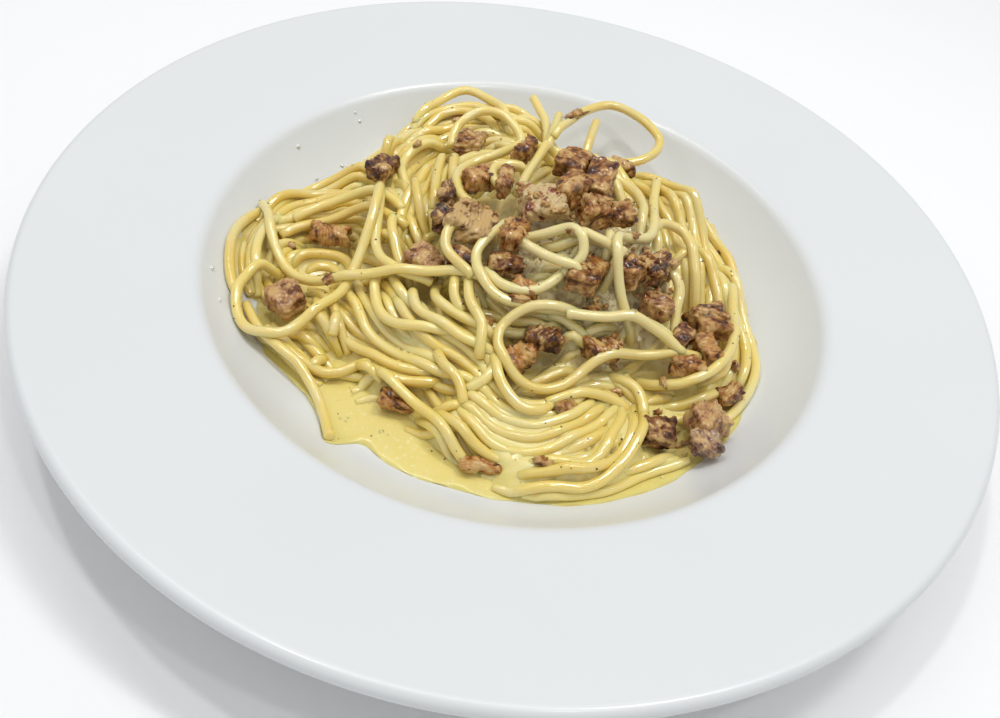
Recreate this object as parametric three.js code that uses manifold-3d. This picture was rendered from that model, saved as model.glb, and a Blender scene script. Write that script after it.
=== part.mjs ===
// Spaghetti carbonara in its wide-rimmed pasta plate.
// Millimetres, +Z up, the origin at the centre of the plate's foot, -Y towards the diner.
import * as THREE from "three";
import { mergeVertices } from "three/addons/utils/BufferGeometryUtils.js";
import Module from "manifold-3d";

const wasm = await Module();
wasm.setup();

// Plate
const PLATE_RADIUS = 135;
const WELL_RADIUS = 88.8; // at the crease between well and rim
const FLOOR_RADIUS = 63; // the flat of the well
const WELL_DEPTH = 18.5;
const RIM_RISE = 5; // from the crease to the lip
const RIM_THICKNESS = 4.4;
const LIP_RADIUS = RIM_THICKNESS / 2;
const FLOOR_THICKNESS = 4.5;
const WALL_OUT = RIM_THICKNESS; // how far the wall's outer face stands out from its inner one
const WALL_DOWN = 3.5; // and how far it stands below it
const FOOT_HEIGHT = 3;
const FOOT_WIDTH = 5;
const FOOT_DRAFT = 2; // how far each flank of the foot ring leans
const WALL_STEPS = 4;
const PLATE_SEGMENTS = 48;
const FLOOR_Z = FOOT_HEIGHT + FLOOR_THICKNESS;
const CREASE_Z = FLOOR_Z + WELL_DEPTH;

// Food
const GAP = 0.3; // between neighbouring pieces
const PLATE_GAP = 0.45; // under the food, over the flats of the plate's facets
const STRAND_GAP = 0.7; // under a strand that crosses bacon, plate or pool
const STRAND_DIAMETER = 3.1;
const STRAND_RADIUS = STRAND_DIAMETER / 2;
const STRAND_SIDES = 6;
const STRAND_STEP = 6; // along a strand
const STRAND_SINK = 0.5; // how far a strand presses into what it is fused to
const BEND_RADIUS = 22; // the tightest hollow that a strand follows
const STIFFNESS_PASSES = 80; // over a strand, to lift it where it would bend too far
const STAMPS_PER_STEP = 5; // marks that a strand leaves on the relief under it
const SHORTEST_STRAND = 14;
const CORE_COVER = 1.4 * STRAND_DIAMETER; // strands lying over the core
const CORE_INSET = 3;
const CORE_EDGE = 1.2; // thickness of the core at its outline
const CORE_TURNS = 36;
const CORE_RINGS = 14;
const OUTLINE_STEP = 0.5; // in the search for the core's outline
const SAUCE_DEPTH = 2.5;
const SAUCE_EDGE = 0.8;
const SAUCE_Z = FLOOR_Z + SAUCE_DEPTH;
const POOL_TURNS = 42;
const POOL_RINGS = 10;

// The pool's radius every 30 degrees, anticlockwise from +X.
const SAUCE_RADII = [74, 73, 71, 68, 66, 68, 75, 72, 71, 72.5, 75, 75.5];

// The heap is a blend of domes: centre, half widths and height over the floor of the well. A high
// flatness makes a plateau with steep sides.
const DOMES = [
  { name: "summit", x: 8, y: 15, rx: 50, ry: 51, height: 34, flatness: 3 },
  { name: "far fold", x: -22, y: 28, rx: 32, ry: 49, height: 24, flatness: 8 },
  { name: "left lobe", x: -47, y: -4, rx: 34, ry: 34, height: 13, flatness: 5 },
  { name: "left sweep", x: -30, y: -22, rx: 38, ry: 24, height: 14, flatness: 4 },
  { name: "near twirl", x: 13, y: -37, rx: 43, ry: 32, height: 15, flatness: 3 },
  { name: "right side", x: 40, y: 2, rx: 33, ry: 50, height: 18, flatness: 5 },
  { name: "far right", x: 34, y: 32, rx: 34, ry: 34, height: 19, flatness: 5 },
];
const DOME_SHOULDER = 0.65;
const DOME_BLEND = 5;

// Strand routes in plan, from the lowest to the highest. Where strands is over 1 the route is the
// middle of a bundle, spaced STRAND_PITCH apart. A strand that is marked over rides over the bacon,
// and any other ends where it meets a piece. An arch is the height of a strand that stands free.
const STRAND_PITCH = 7;
const ROUTES = [
  {
    name: "far outer",
    strands: 1,
    points: [
      [-47, 12], [-51, 26], [-50, 42], [-44, 55], [-33, 64], [-19, 69], [-6, 67], [5, 60],
    ],
  },
  {
    name: "far inner",
    strands: 2,
    points: [
      [-41, 18], [-44, 32], [-42, 44], [-35, 54], [-24, 59], [-12, 59], [0, 54], [9, 48],
    ],
  },
  {
    name: "left edge",
    strands: 1,
    points: [
      [-55, 33], [-68, 25], [-76, 12], [-79, -4], [-77, -18], [-70, -31], [-60, -38], [-49, -43],
    ],
  },
  {
    name: "left top",
    strands: 2,
    points: [
      [-76, 4], [-71, 13], [-62, 18], [-52, 19], [-44, 14], [-38, 6],
    ],
  },
  {
    name: "left arc",
    strands: 1,
    points: [
      [-66, -13], [-64, -6], [-58, -2], [-52, -4], [-48, -11], [-49, -19],
    ],
  },
  {
    name: "lower left",
    strands: 1,
    points: [
      [-66, -33], [-58, -36], [-49, -40], [-40, -43], [-31, -43], [-23, -45], [-14, -43],
    ],
  },
  {
    name: "left sweep",
    strands: 2,
    points: [
      [-61, -15], [-57, -22], [-50, -27], [-42, -31], [-33, -35], [-24, -38], [-15, -38], [-8, -35],
    ],
  },
  {
    name: "middle sweep",
    strands: 2,
    points: [
      [-43, -8], [-39, -16], [-33, -23], [-26, -29], [-17, -34], [-9, -37], [-2, -39],
    ],
  },
  {
    name: "twirl",
    strands: 2,
    points: [
      [-17, -47], [-9, -54], [2, -57], [13, -55], [22, -49], [28, -42],
    ],
  },
  {
    name: "outer twirl",
    strands: 1,
    points: [
      [-10, -60], [3, -64], [15, -63], [26, -58], [34, -50], [37, -43], [34, -37],
    ],
  },
  {
    name: "near right",
    strands: 1,
    points: [
      [8, -67], [22, -66], [35, -61], [46, -54], [54, -46],
    ],
  },
  {
    name: "lower right",
    strands: 1,
    points: [
      [44, -34], [54, -33], [62, -27], [67, -17], [68, -5], [65, 9], [58, 24],
    ],
  },
  {
    name: "far right",
    strands: 1,
    points: [
      [6, 51], [18, 51], [30, 48], [41, 41], [50, 31], [55, 19], [57, 7], [57, -4],
    ],
  },
  {
    name: "back right",
    strands: 1,
    points: [
      [-4, 56], [8, 59], [20, 58], [32, 54], [43, 47], [52, 37], [59, 25], [62, 12],
    ],
  },
  {
    name: "right arc",
    strands: 2,
    points: [
      [19, 42], [30, 39], [39, 32], [45, 22], [47, 11], [46, 0], [44, -9],
    ],
  },
  {
    name: "right inner",
    strands: 1,
    points: [
      [24, 31], [31, 26], [36, 18], [38, 9], [37, 1],
    ],
  },
  {
    name: "summit left",
    strands: 2,
    points: [
      [-33, -1], [-34, 9], [-32, 21], [-28, 32], [-21, 41], [-10, 46], [2, 46],
    ],
  },
  {
    name: "summit arc",
    strands: 1,
    points: [
      [-22, 5], [-24, 15], [-22, 26], [-16, 34], [-7, 38], [3, 39],
    ],
  },
  {
    name: "summit right",
    strands: 1,
    points: [
      [-6, 4], [-5, 14], [-2, 26], [4, 37], [9, 46],
    ],
  },
  {
    name: "droop",
    strands: 1,
    points: [
      [-46, -40], [-43, -48], [-41, -56], [-39, -64],
    ],
  },
  {
    name: "near stub",
    strands: 1,
    points: [
      [-14, -34], [-10, -41], [-7, -50],
    ],
  },
  {
    name: "curl",
    strands: 1,
    points: [
      [-2, -6], [4, -9], [12, -10], [17, -7], [15, -3], [9, -1], [2, -2],
    ],
  },
  {
    name: "near shelf",
    strands: 1,
    points: [
      [1, -43], [8, -46], [16, -44], [23, -39], [30, -35], [36, -35],
    ],
  },
  {
    name: "right loop",
    strands: 1,
    over: true,
    points: [
      [64, 10], [64, 0], [63, -9], [61, -18], [56, -26], [49, -30], [42, -29], [37, -25],
    ],
  },
  {
    name: "long curve",
    strands: 1,
    over: true,
    points: [
      [-78, 8], [-75, 0], [-70, -6], [-63, -10], [-55, -12], [-46, -12], [-37, -11], [-29, -12],
      [-20, -15], [-12, -18],
    ],
  },
  {
    name: "left loop",
    strands: 1,
    over: true,
    points: [
      [-69, -10], [-73, -16], [-74, -23], [-71, -30], [-65, -34], [-58, -33], [-51, -28], [-47, -20],
      [-44, -10], [-43, 2], [-47, 14],
    ],
  },
  {
    name: "right bow",
    strands: 1,
    over: true,
    points: [
      [36, 40], [37, 30], [36, 19], [34, 9], [28, 3], [25, -3], [26, -10], [31, -17],
    ],
  },
  {
    name: "middle curve",
    strands: 1,
    over: true,
    points: [
      [-6, 7], [-8, 2], [-10, -5], [-12, -12], [-10, -19], [-4, -22], [5, -22], [16, -21],
      [28, -19], [40, -17],
    ],
  },
  {
    name: "middle loop",
    strands: 1,
    over: true,
    points: [
      [53, -22], [42, -24], [32, -27], [24, -32], [17, -38], [10, -41], [3, -39], [-2, -33],
      [0, -27], [8, -24],
    ],
  },
  {
    name: "far loop",
    strands: 1,
    over: true,
    arch: CREASE_Z + 7,
    points: [
      [2, 52], [9, 63], [18, 69], [28, 68], [35, 61], [32, 53], [22, 49], [12, 47],
    ],
  },
];

// Bacon: centre in plan, length, width and height, the turn of its long side from +X, the lean
// along it in degrees, and how far its foot stands over the core.
const BACON = [
  { x: 10, y: 29, length: 11, width: 9, height: 7, turn: 70, lean: 8, lift: 0.5 },
  { x: 18, y: 22, length: 13, width: 8, height: 7, turn: 80, lean: -10, lift: 0.5 },
  { x: 11, y: 16, length: 12, width: 7, height: 7, turn: 65, lean: 6, lift: 1 },
  { x: 18, y: 9, length: 9, width: 8, height: 7, turn: 20, lean: 10, lift: 0.5 },
  { x: 3, y: 9, length: 12, width: 11, height: 6, turn: 15, lean: -6, lift: 0.5 },
  { x: -15, y: -1, length: 12, width: 11, height: 6, turn: -15, lean: 8, lift: 0.5 },
  { x: -23.5, y: 1, length: 7, width: 5, height: 7, turn: 80, lean: 0, lift: 0.5 },
  { x: -3.5, y: -4, length: 10, width: 7, height: 6, turn: 80, lean: 10, lift: 0.5 },
  { x: -26, y: -10, length: 10, width: 7, height: 6, turn: -25, lean: 8, lift: 0.5 },
  { x: -15, y: -11, length: 8, width: 5, height: 6, turn: -15, lean: 0, lift: 0 },
  { x: -4, y: -13, length: 9, width: 6, height: 6, turn: 10, lean: 5, lift: 0.5 },
  { x: 2.5, y: -18, length: 7, width: 4, height: 6, turn: -10, lean: 5, lift: 0 },
  { x: -16, y: 16, length: 8, width: 6, height: 6, turn: 40, lean: 5, lift: 0.5 },
  { x: -8.5, y: 15, length: 10, width: 4.5, height: 6, turn: 85, lean: 0, lift: 0.5 },
  { x: -23.5, y: 10, length: 10, width: 5, height: 6, turn: 85, lean: 6, lift: 0.5 },
  { x: -5, y: 32, length: 10, width: 4, height: 6, turn: 65, lean: 5, lift: 0.5 },
  { x: -22, y: 42, length: 10, width: 8, height: 6, turn: 80, lean: 12, lift: 0.5 },
  { x: -46, y: 28, length: 10, width: 7, height: 6, turn: 70, lean: 5, lift: 0.5 },
  { x: 7, y: 60, length: 9, width: 3.5, height: 4, turn: 50, lean: 8, lift: 3 },
  { x: 26, y: 45, length: 8, width: 3.5, height: 5, turn: -15, lean: 0, lift: 0.5 },
  { x: 25, y: 11, length: 8, width: 6, height: 6, turn: 30, lean: 5, lift: 0.5 },
  { x: -56, y: 3, length: 11, width: 6, height: 6, turn: 8, lean: 0, lift: 0 },
  { x: -62, y: -23, length: 9, width: 8, height: 6, turn: -35, lean: 8, lift: 0 },
  { x: 18, y: -12, length: 11, width: 8, height: 7, turn: 70, lean: 5, lift: 0 },
  { x: 37, y: -1, length: 11, width: 7, height: 7, turn: 40, lean: 8, lift: 0.5 },
  { x: 30, y: -7, length: 7, width: 6, height: 7, turn: 60, lean: 0, lift: 0.5 },
  { x: 40, y: -10, length: 8, width: 6, height: 6, turn: -20, lean: 5, lift: 0.5 },
  { x: 55, y: -9, length: 11, width: 10, height: 7, turn: 30, lean: 10, lift: 0.5 },
  { x: 48, y: -17, length: 7, width: 4.5, height: 6, turn: 60, lean: 0, lift: 0.5 },
  { x: 55, y: -19, length: 8, width: 5, height: 6, turn: -60, lean: 5, lift: 0.5 },
  { x: 50, y: -26, length: 10, width: 4.5, height: 5.5, turn: 5, lean: 5, lift: 0.5 },
  { x: 10, y: -27, length: 10, width: 5, height: 6, turn: 12, lean: 0, lift: 0 },
  { x: 4, y: -34, length: 9, width: 6, height: 6, turn: 60, lean: 10, lift: 0.5 },
  { x: 26, y: -26, length: 9, width: 5, height: 6, turn: 20, lean: 0, lift: 0 },
  { x: -25, y: -48, length: 9, width: 6, height: 5, turn: 0, lean: 0, lift: 0 },
  { x: 0, y: -63, length: 11, width: 3.5, height: 3.5, turn: 8, lean: 0, lift: 0 },
  { x: 44, y: -44, length: 9, width: 7, height: 6, turn: 10, lean: 5, lift: 0 },
  { x: 57, y: -38, length: 9, width: 8, height: 7, turn: 30, lean: 12, lift: 0 },
  { x: 56, y: -46, length: 8, width: 6, height: 5, turn: 20, lean: 5, lift: 0 },
  { x: 64, y: -25, length: 8, width: 5, height: 5, turn: 40, lean: 0, lift: 0.5 },
];
const BACON_CUTS = 2; // faces along each long side of a piece
const BACON_JITTER = 0.14; // share of a piece's size that its corners wander
const BACON_WAVE = new THREE.Vector3(0.9, 1.3, 1.7); // radians of the corners' wave for each mm
const BACON_PHASE = 2.1; // radians from one piece's wave to the next one's
const RELIEF_SPREAD = 8; // points along each side of a triangle that is marked on a relief
const TINY = 1e-6;
const MERGE_DISTANCE = 1e-4;

const CHINA = { color: 0xe6e9ea, roughness: 0.12, metalness: 0 };
const SAUCE = { color: 0xe9d67c, roughness: 0.3, metalness: 0 };
const PASTA = { color: 0xecd98d, roughness: 0.35, metalness: 0 };
const BACON_LOOK = { roughness: 0.5, metalness: 0 };
const BACON_COLORS = [0x9c5b3e, 0x7d4436, 0xb5764f, 0x8a5560];

const part = new THREE.Group();

// ---- Plate ----

// Height of the plate's upper face at a radius.
function wellHeight(radius) {
  if (radius <= FLOOR_RADIUS) return FLOOR_Z;
  const share = (radius - FLOOR_RADIUS) / (WELL_RADIUS - FLOOR_RADIUS);
  return FLOOR_Z + WELL_DEPTH * Math.min(share, 1) ** 2;
}

// The curve of the well's wall from floor to crease, moved outwards and down.
function wallPoints(outwards, down) {
  const points = [];
  for (let i = 0; i <= WALL_STEPS; i++) {
    const radius = THREE.MathUtils.lerp(FLOOR_RADIUS, WELL_RADIUS, i / WALL_STEPS);
    points.push(new THREE.Vector2(radius + outwards, wellHeight(radius) - down));
  }
  return points;
}

function lipPoints() {
  const centre = new THREE.Vector2(PLATE_RADIUS - LIP_RADIUS, CREASE_Z + RIM_RISE - LIP_RADIUS);
  return [-90, -30, 30, 90].map((degrees) => {
    const angle = THREE.MathUtils.degToRad(degrees);
    return new THREE.Vector2(Math.cos(angle), Math.sin(angle)).multiplyScalar(LIP_RADIUS).add(centre);
  });
}

function makePlate() {
  const footOuter = FLOOR_RADIUS - FOOT_DRAFT;
  const footInner = footOuter - FOOT_WIDTH;
  const underside = [
    new THREE.Vector2(0, FOOT_HEIGHT),
    new THREE.Vector2(footInner - FOOT_DRAFT, FOOT_HEIGHT),
    new THREE.Vector2(footInner, 0),
    new THREE.Vector2(footOuter, 0),
    ...wallPoints(WALL_OUT, WALL_DOWN),
  ];
  const upperFace = [...wallPoints(0, 0).reverse(), new THREE.Vector2(0, FLOOR_Z)];
  const profile = [...underside, ...lipPoints(), ...upperFace];
  return new THREE.LatheGeometry(profile, PLATE_SEGMENTS).rotateX(Math.PI / 2);
}

// ---- Heap, core and pool ----

function domeHeight(dome, x, y, inset) {
  const reach = Math.hypot((x - dome.x) / (dome.rx - inset), (y - dome.y) / (dome.ry - inset));
  if (reach >= 1) return 0;
  return dome.height * (1 - reach ** dome.flatness) ** DOME_SHOULDER;
}

// Height of the heap over the floor of the well, with every dome drawn in by the inset.
function heapHeight(x, y, inset) {
  const powers = DOMES.map((dome) => domeHeight(dome, x, y, inset) ** DOME_BLEND);
  return powers.reduce((sum, power) => sum + power) ** (1 / DOME_BLEND);
}

function bedHeight(x, y) {
  return wellHeight(Math.hypot(x, y)) + PLATE_GAP;
}

function coreTop(x, y) {
  const height = heapHeight(x, y, CORE_INSET);
  const cover = Math.min(CORE_COVER, height / 2);
  return Math.max(FLOOR_Z + height - cover, bedHeight(x, y) + CORE_EDGE);
}

// The outermost radius, in a direction, where the heap stands clear of the plate.
function coreRadius(angle) {
  const clearance = 2 * CORE_EDGE;
  let radius = WELL_RADIUS;
  while (radius > 1) {
    const x = radius * Math.cos(angle);
    const y = radius * Math.sin(angle);
    if (FLOOR_Z + heapHeight(x, y, CORE_INSET) > bedHeight(x, y) + clearance) break;
    radius -= OUTLINE_STEP;
  }
  return radius;
}

function sauceRadius(angle) {
  const count = SAUCE_RADII.length;
  const place = (((angle / (2 * Math.PI)) * count) % count + count) % count;
  const before = Math.floor(place);
  const ease = (1 - Math.cos((place - before) * Math.PI)) / 2;
  return THREE.MathUtils.lerp(SAUCE_RADII[before], SAUCE_RADII[(before + 1) % count], ease);
}

function sauceTop(x, y) {
  return Math.max(SAUCE_Z, bedHeight(x, y) + SAUCE_EDGE);
}

// A closed solid between a top and the plate, over an outline given as a radius for each angle. It
// is a sphere whose rings are spread over the outline.
function pillow(outline, top, turns, rings, grow = 0) {
  const geometry = new THREE.SphereGeometry(1, turns, rings);
  geometry.rotateX(Math.PI / 2);
  const place = geometry.attributes.position;
  for (let i = 0; i < place.count; i++) {
    const side = Math.abs(place.getZ(i)) < TINY ? 0 : Math.sign(place.getZ(i));
    const angle = Math.atan2(place.getY(i), place.getX(i));
    const share = Math.hypot(place.getX(i), place.getY(i));
    const radius = (outline(angle) + grow) * share;
    const x = share < TINY ? 0 : radius * Math.cos(angle);
    const y = share < TINY ? 0 : radius * Math.sin(angle);
    const low = bedHeight(x, y) - grow;
    const high = top(x, y) + grow;
    place.setXYZ(i, x, y, THREE.MathUtils.lerp(low, high, (side + 1) / 2));
  }
  return geometry;
}

// ---- Solids ----

function toSolid(geometry) {
  const bare = geometry.clone();
  bare.deleteAttribute("normal");
  bare.deleteAttribute("uv");
  const merged = mergeVertices(bare, MERGE_DISTANCE);
  const mesh = new wasm.Mesh({
    numProp: 3,
    vertProperties: new Float32Array(merged.attributes.position.array),
    triVerts: new Uint32Array(merged.index.array),
  });
  return new wasm.Manifold(mesh);
}

function toGeometry(solid) {
  const mesh = solid.getMesh();
  const geometry = new THREE.BufferGeometry();
  geometry.setAttribute("position", new THREE.BufferAttribute(mesh.vertProperties, 3));
  geometry.setIndex(new THREE.BufferAttribute(mesh.triVerts, 1));
  geometry.computeVertexNormals();
  return geometry;
}

function largestBody(solid) {
  return solid.decompose().sort((a, b) => b.volume() - a.volume())[0];
}

// ---- Relief: a map of the highest point over each square millimetre ----

const RELIEF_HALF = Math.ceil(WELL_RADIUS) + 4;
const RELIEF_WIDTH = 2 * RELIEF_HALF + 1;

function cellAt(x, y) {
  return (y + RELIEF_HALF) * RELIEF_WIDTH + x + RELIEF_HALF;
}

function makeRelief(height) {
  const relief = new Float64Array(RELIEF_WIDTH ** 2);
  for (let row = 0; row < RELIEF_WIDTH; row++) {
    for (let column = 0; column < RELIEF_WIDTH; column++) {
      relief[row * RELIEF_WIDTH + column] = height(column - RELIEF_HALF, row - RELIEF_HALF);
    }
  }
  return relief;
}

// Calls visit(cell, rise) for each cell under a ball, where rise is the ball's height over its
// centre there.
function underBall(x, y, radius, visit) {
  for (let row = Math.ceil(y - radius); row <= y + radius; row++) {
    for (let column = Math.ceil(x - radius); column <= x + radius; column++) {
      const rise = Math.sqrt(Math.max(radius ** 2 - (column - x) ** 2 - (row - y) ** 2, 0));
      visit(cellAt(column, row), rise);
    }
  }
}

// Lowest centre of a ball that rests on the relief.
function restHeight(relief, x, y, radius) {
  let height = -Infinity;
  underBall(x, y, radius, (cell, rise) => {
    height = Math.max(height, relief[cell] + rise);
  });
  return height;
}

function raiseByBall(relief, point, radius) {
  underBall(point.x, point.y, radius, (cell, rise) => {
    relief[cell] = Math.max(relief[cell], point.z + rise);
  });
}

// ---- Bacon ----

// Where a piece stands: on the core or the pool, and clear of the plate at its outer end.
function footHeight(piece) {
  const outerEnd = Math.hypot(piece.x, piece.y) + piece.length / 2 + 1;
  const dip = (piece.length / 2) * Math.sin(THREE.MathUtils.degToRad(Math.abs(piece.lean)));
  const overPlate = wellHeight(outerEnd) + dip + 3 * GAP;
  return Math.max(coreTop(piece.x, piece.y) + piece.lift, sauceTop(piece.x, piece.y), overPlate);
}

// A block whose corners wander by a smooth wave, so that shared corners stay together.
function makeBacon(piece, index, grow) {
  const size = new THREE.Vector3(piece.length, piece.width, piece.height);
  const geometry = new THREE.BoxGeometry(...size, BACON_CUTS, BACON_CUTS, 1);
  const place = geometry.attributes.position;
  const corner = new THREE.Vector3();
  for (let i = 0; i < place.count; i++) {
    corner.fromBufferAttribute(place, i);
    const phase = BACON_PHASE * index + corner.dot(BACON_WAVE);
    const wave = new THREE.Vector3(Math.sin(phase), Math.sin(1.7 * phase + 1), Math.sin(2.3 * phase + 2));
    const outwards = corner.clone().normalize().multiplyScalar(2 * grow);
    corner.addScaledVector(wave.multiply(size), BACON_JITTER / 2).add(outwards);
    place.setXYZ(i, corner.x, corner.y, corner.z);
  }
  geometry.rotateY(THREE.MathUtils.degToRad(piece.lean));
  geometry.rotateZ(THREE.MathUtils.degToRad(piece.turn));
  return geometry.translate(piece.x, piece.y, footHeight(piece) + piece.height / 2);
}

// The pieces in order, each one cut clear of the rooms of those before it.
function cutBacon(rooms) {
  return BACON.map((piece, index) => {
    const solid = toSolid(makeBacon(piece, index, 0));
    if (index === 0) return solid;
    return largestBody(solid.subtract(wasm.Manifold.union(rooms.slice(0, index))));
  });
}

// Raises the relief under each triangle of a geometry, by points spread over it.
function raiseByGeometry(relief, geometry) {
  const triangles = geometry.toNonIndexed().attributes.position;
  const corners = [0, 1, 2].map(() => new THREE.Vector3());
  const point = new THREE.Vector3();
  for (let i = 0; i < triangles.count; i += 3) {
    corners.forEach((corner, k) => corner.fromBufferAttribute(triangles, i + k));
    for (let a = 0; a <= RELIEF_SPREAD; a++) {
      for (let b = 0; a + b <= RELIEF_SPREAD; b++) {
        point.copy(corners[0]).multiplyScalar(1 - (a + b) / RELIEF_SPREAD);
        point.addScaledVector(corners[1], a / RELIEF_SPREAD);
        point.addScaledVector(corners[2], b / RELIEF_SPREAD);
        const cell = cellAt(Math.round(point.x), Math.round(point.y));
        relief[cell] = Math.max(relief[cell], point.z);
      }
    }
  }
}

// ---- Strands ----

// Points along a route at the strand's step, moved sideways.
function planPoints(route, sideways) {
  const curve = new THREE.CatmullRomCurve3(route.map(([x, y]) => new THREE.Vector3(x, y, 0)));
  const steps = Math.max(4, Math.round(curve.getLength() / STRAND_STEP));
  return curve.getSpacedPoints(steps).map((point, i) => {
    const ahead = curve.getTangentAt(i / steps);
    return point.add(new THREE.Vector3(-ahead.y, ahead.x, 0).multiplyScalar(sideways));
  });
}

function nearBacon(point) {
  return BACON.some((piece) => {
    const away = new THREE.Vector2(point.x - piece.x, point.y - piece.y);
    away.rotateAround(new THREE.Vector2(), -THREE.MathUtils.degToRad(piece.turn));
    const reach = STRAND_RADIUS + GAP;
    return Math.abs(away.x) < piece.length / 2 + reach && Math.abs(away.y) < piece.width / 2 + reach;
  });
}

// The stretches of a strand between the pieces of bacon.
function clearStretches(points) {
  const stretches = [[]];
  for (const point of points) {
    if (nearBacon(point)) stretches.push([]);
    else stretches.at(-1).push(point);
  }
  return stretches.filter((stretch) => (stretch.length - 1) * STRAND_STEP >= SHORTEST_STRAND);
}

// Gives each point the height at which the strand lies on what is under it, and lifts the points
// between two supports, because a strand only bends so far. An arch stands free between its ends.
function layStrand(points, pasta, fixed, arch) {
  points.forEach((point, i) => {
    const onPasta = restHeight(pasta, point.x, point.y, STRAND_RADIUS) - STRAND_SINK;
    const onRest = restHeight(fixed, point.x, point.y, STRAND_RADIUS + STRAND_GAP);
    const share = i / (points.length - 1);
    point.z = Math.max(onPasta, onRest, 2 * arch * Math.sqrt(share * (1 - share)));
  });
  const sag = STRAND_STEP ** 2 / BEND_RADIUS / 2;
  for (let pass = 0; pass < STIFFNESS_PASSES; pass++) {
    for (let i = 1; i < points.length - 1; i++) {
      const level = (points[i - 1].z + points[i + 1].z) / 2 - sag;
      points[i].z = Math.max(points[i].z, level);
    }
  }
  const path = new THREE.CatmullRomCurve3(points);
  const stamps = path.getSpacedPoints(points.length * STAMPS_PER_STEP);
  for (const point of stamps) raiseByBall(pasta, point, STRAND_RADIUS);
  return path;
}

function makeStrand(path, steps) {
  const section = new THREE.Shape();
  for (let side = 0; side < STRAND_SIDES; side++) {
    const angle = (side / STRAND_SIDES) * 2 * Math.PI;
    const x = STRAND_RADIUS * Math.cos(angle);
    const y = STRAND_RADIUS * Math.sin(angle);
    if (side === 0) section.moveTo(x, y);
    else section.lineTo(x, y);
  }
  return new THREE.ExtrudeGeometry(section, { steps, bevelEnabled: false, extrudePath: path });
}

function makeStrands(pasta, fixed) {
  const solids = [];
  for (const route of ROUTES) {
    for (let k = 0; k < route.strands; k++) {
      const points = planPoints(route.points, (k - (route.strands - 1) / 2) * STRAND_PITCH);
      for (const stretch of route.over ? [points] : clearStretches(points)) {
        const path = layStrand(stretch, pasta, fixed, route.arch ?? 0);
        solids.push(toSolid(makeStrand(path, stretch.length - 1)));
      }
    }
  }
  return solids;
}

// ---- The dish ----

function addPiece(name, geometry, look) {
  const mesh = new THREE.Mesh(geometry, new THREE.MeshStandardMaterial(look));
  mesh.name = name;
  part.add(mesh);
}

function makeCore(grow) {
  return toSolid(pillow(coreRadius, coreTop, CORE_TURNS, CORE_RINGS, grow));
}

function makeDish() {
  const pool = toSolid(pillow(sauceRadius, sauceTop, POOL_TURNS, POOL_RINGS));
  const rooms = BACON.map((piece, index) => toSolid(makeBacon(piece, index, GAP)));
  const bacon = cutBacon(rooms).map(toGeometry);
  const room = wasm.Manifold.union(rooms);

  const pasta = makeRelief(coreTop);
  const fixed = makeRelief((x, y) => {
    const inPool = Math.hypot(x, y) < sauceRadius(Math.atan2(y, x));
    return inPool ? sauceTop(x, y) : bedHeight(x, y) - PLATE_GAP;
  });
  for (const geometry of bacon) raiseByGeometry(fixed, geometry);
  const heap = wasm.Manifold.union([makeCore(0), ...makeStrands(pasta, fixed)]);
  const sauce = largestBody(pool.subtract(makeCore(GAP)).subtract(room));
  const spaghetti = largestBody(heap.subtract(room));

  addPiece("plate", makePlate(), CHINA);
  addPiece("sauce", toGeometry(sauce), SAUCE);
  addPiece("spaghetti", toGeometry(spaghetti), PASTA);
  bacon.forEach((geometry, index) => {
    const color = BACON_COLORS[index % BACON_COLORS.length];
    addPiece("bacon_" + String(index + 1).padStart(2, "0"), geometry, { ...BACON_LOOK, color });
  });
}

makeDish();

export default part;
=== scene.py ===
import math

import bmesh
import bpy
import numpy as np
from mathutils import Matrix, Vector, noise
from mathutils.bvhtree import BVHTree


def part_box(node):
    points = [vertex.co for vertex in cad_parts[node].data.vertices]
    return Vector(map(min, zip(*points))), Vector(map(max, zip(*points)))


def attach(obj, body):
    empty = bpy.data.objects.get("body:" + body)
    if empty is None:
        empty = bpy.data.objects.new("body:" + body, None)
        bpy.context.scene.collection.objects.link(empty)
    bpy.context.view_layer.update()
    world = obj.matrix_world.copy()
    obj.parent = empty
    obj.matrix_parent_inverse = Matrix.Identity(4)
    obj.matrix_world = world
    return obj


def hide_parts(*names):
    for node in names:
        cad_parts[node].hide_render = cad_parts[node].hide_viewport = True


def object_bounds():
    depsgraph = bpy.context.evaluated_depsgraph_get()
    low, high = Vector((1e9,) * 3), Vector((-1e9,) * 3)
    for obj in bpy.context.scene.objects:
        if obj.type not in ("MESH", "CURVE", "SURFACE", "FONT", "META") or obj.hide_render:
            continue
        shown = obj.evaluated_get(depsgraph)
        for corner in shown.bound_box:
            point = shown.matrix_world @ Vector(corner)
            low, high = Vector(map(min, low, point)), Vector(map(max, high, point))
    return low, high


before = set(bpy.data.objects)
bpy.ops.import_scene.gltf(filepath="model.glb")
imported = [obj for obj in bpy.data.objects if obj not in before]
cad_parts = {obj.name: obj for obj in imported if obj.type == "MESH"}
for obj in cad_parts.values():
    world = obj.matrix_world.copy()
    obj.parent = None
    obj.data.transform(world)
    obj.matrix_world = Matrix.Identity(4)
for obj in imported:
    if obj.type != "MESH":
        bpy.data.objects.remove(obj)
cad_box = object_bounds()

MM = 0.001
BODY = "root"
SEED = 20240611

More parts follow.
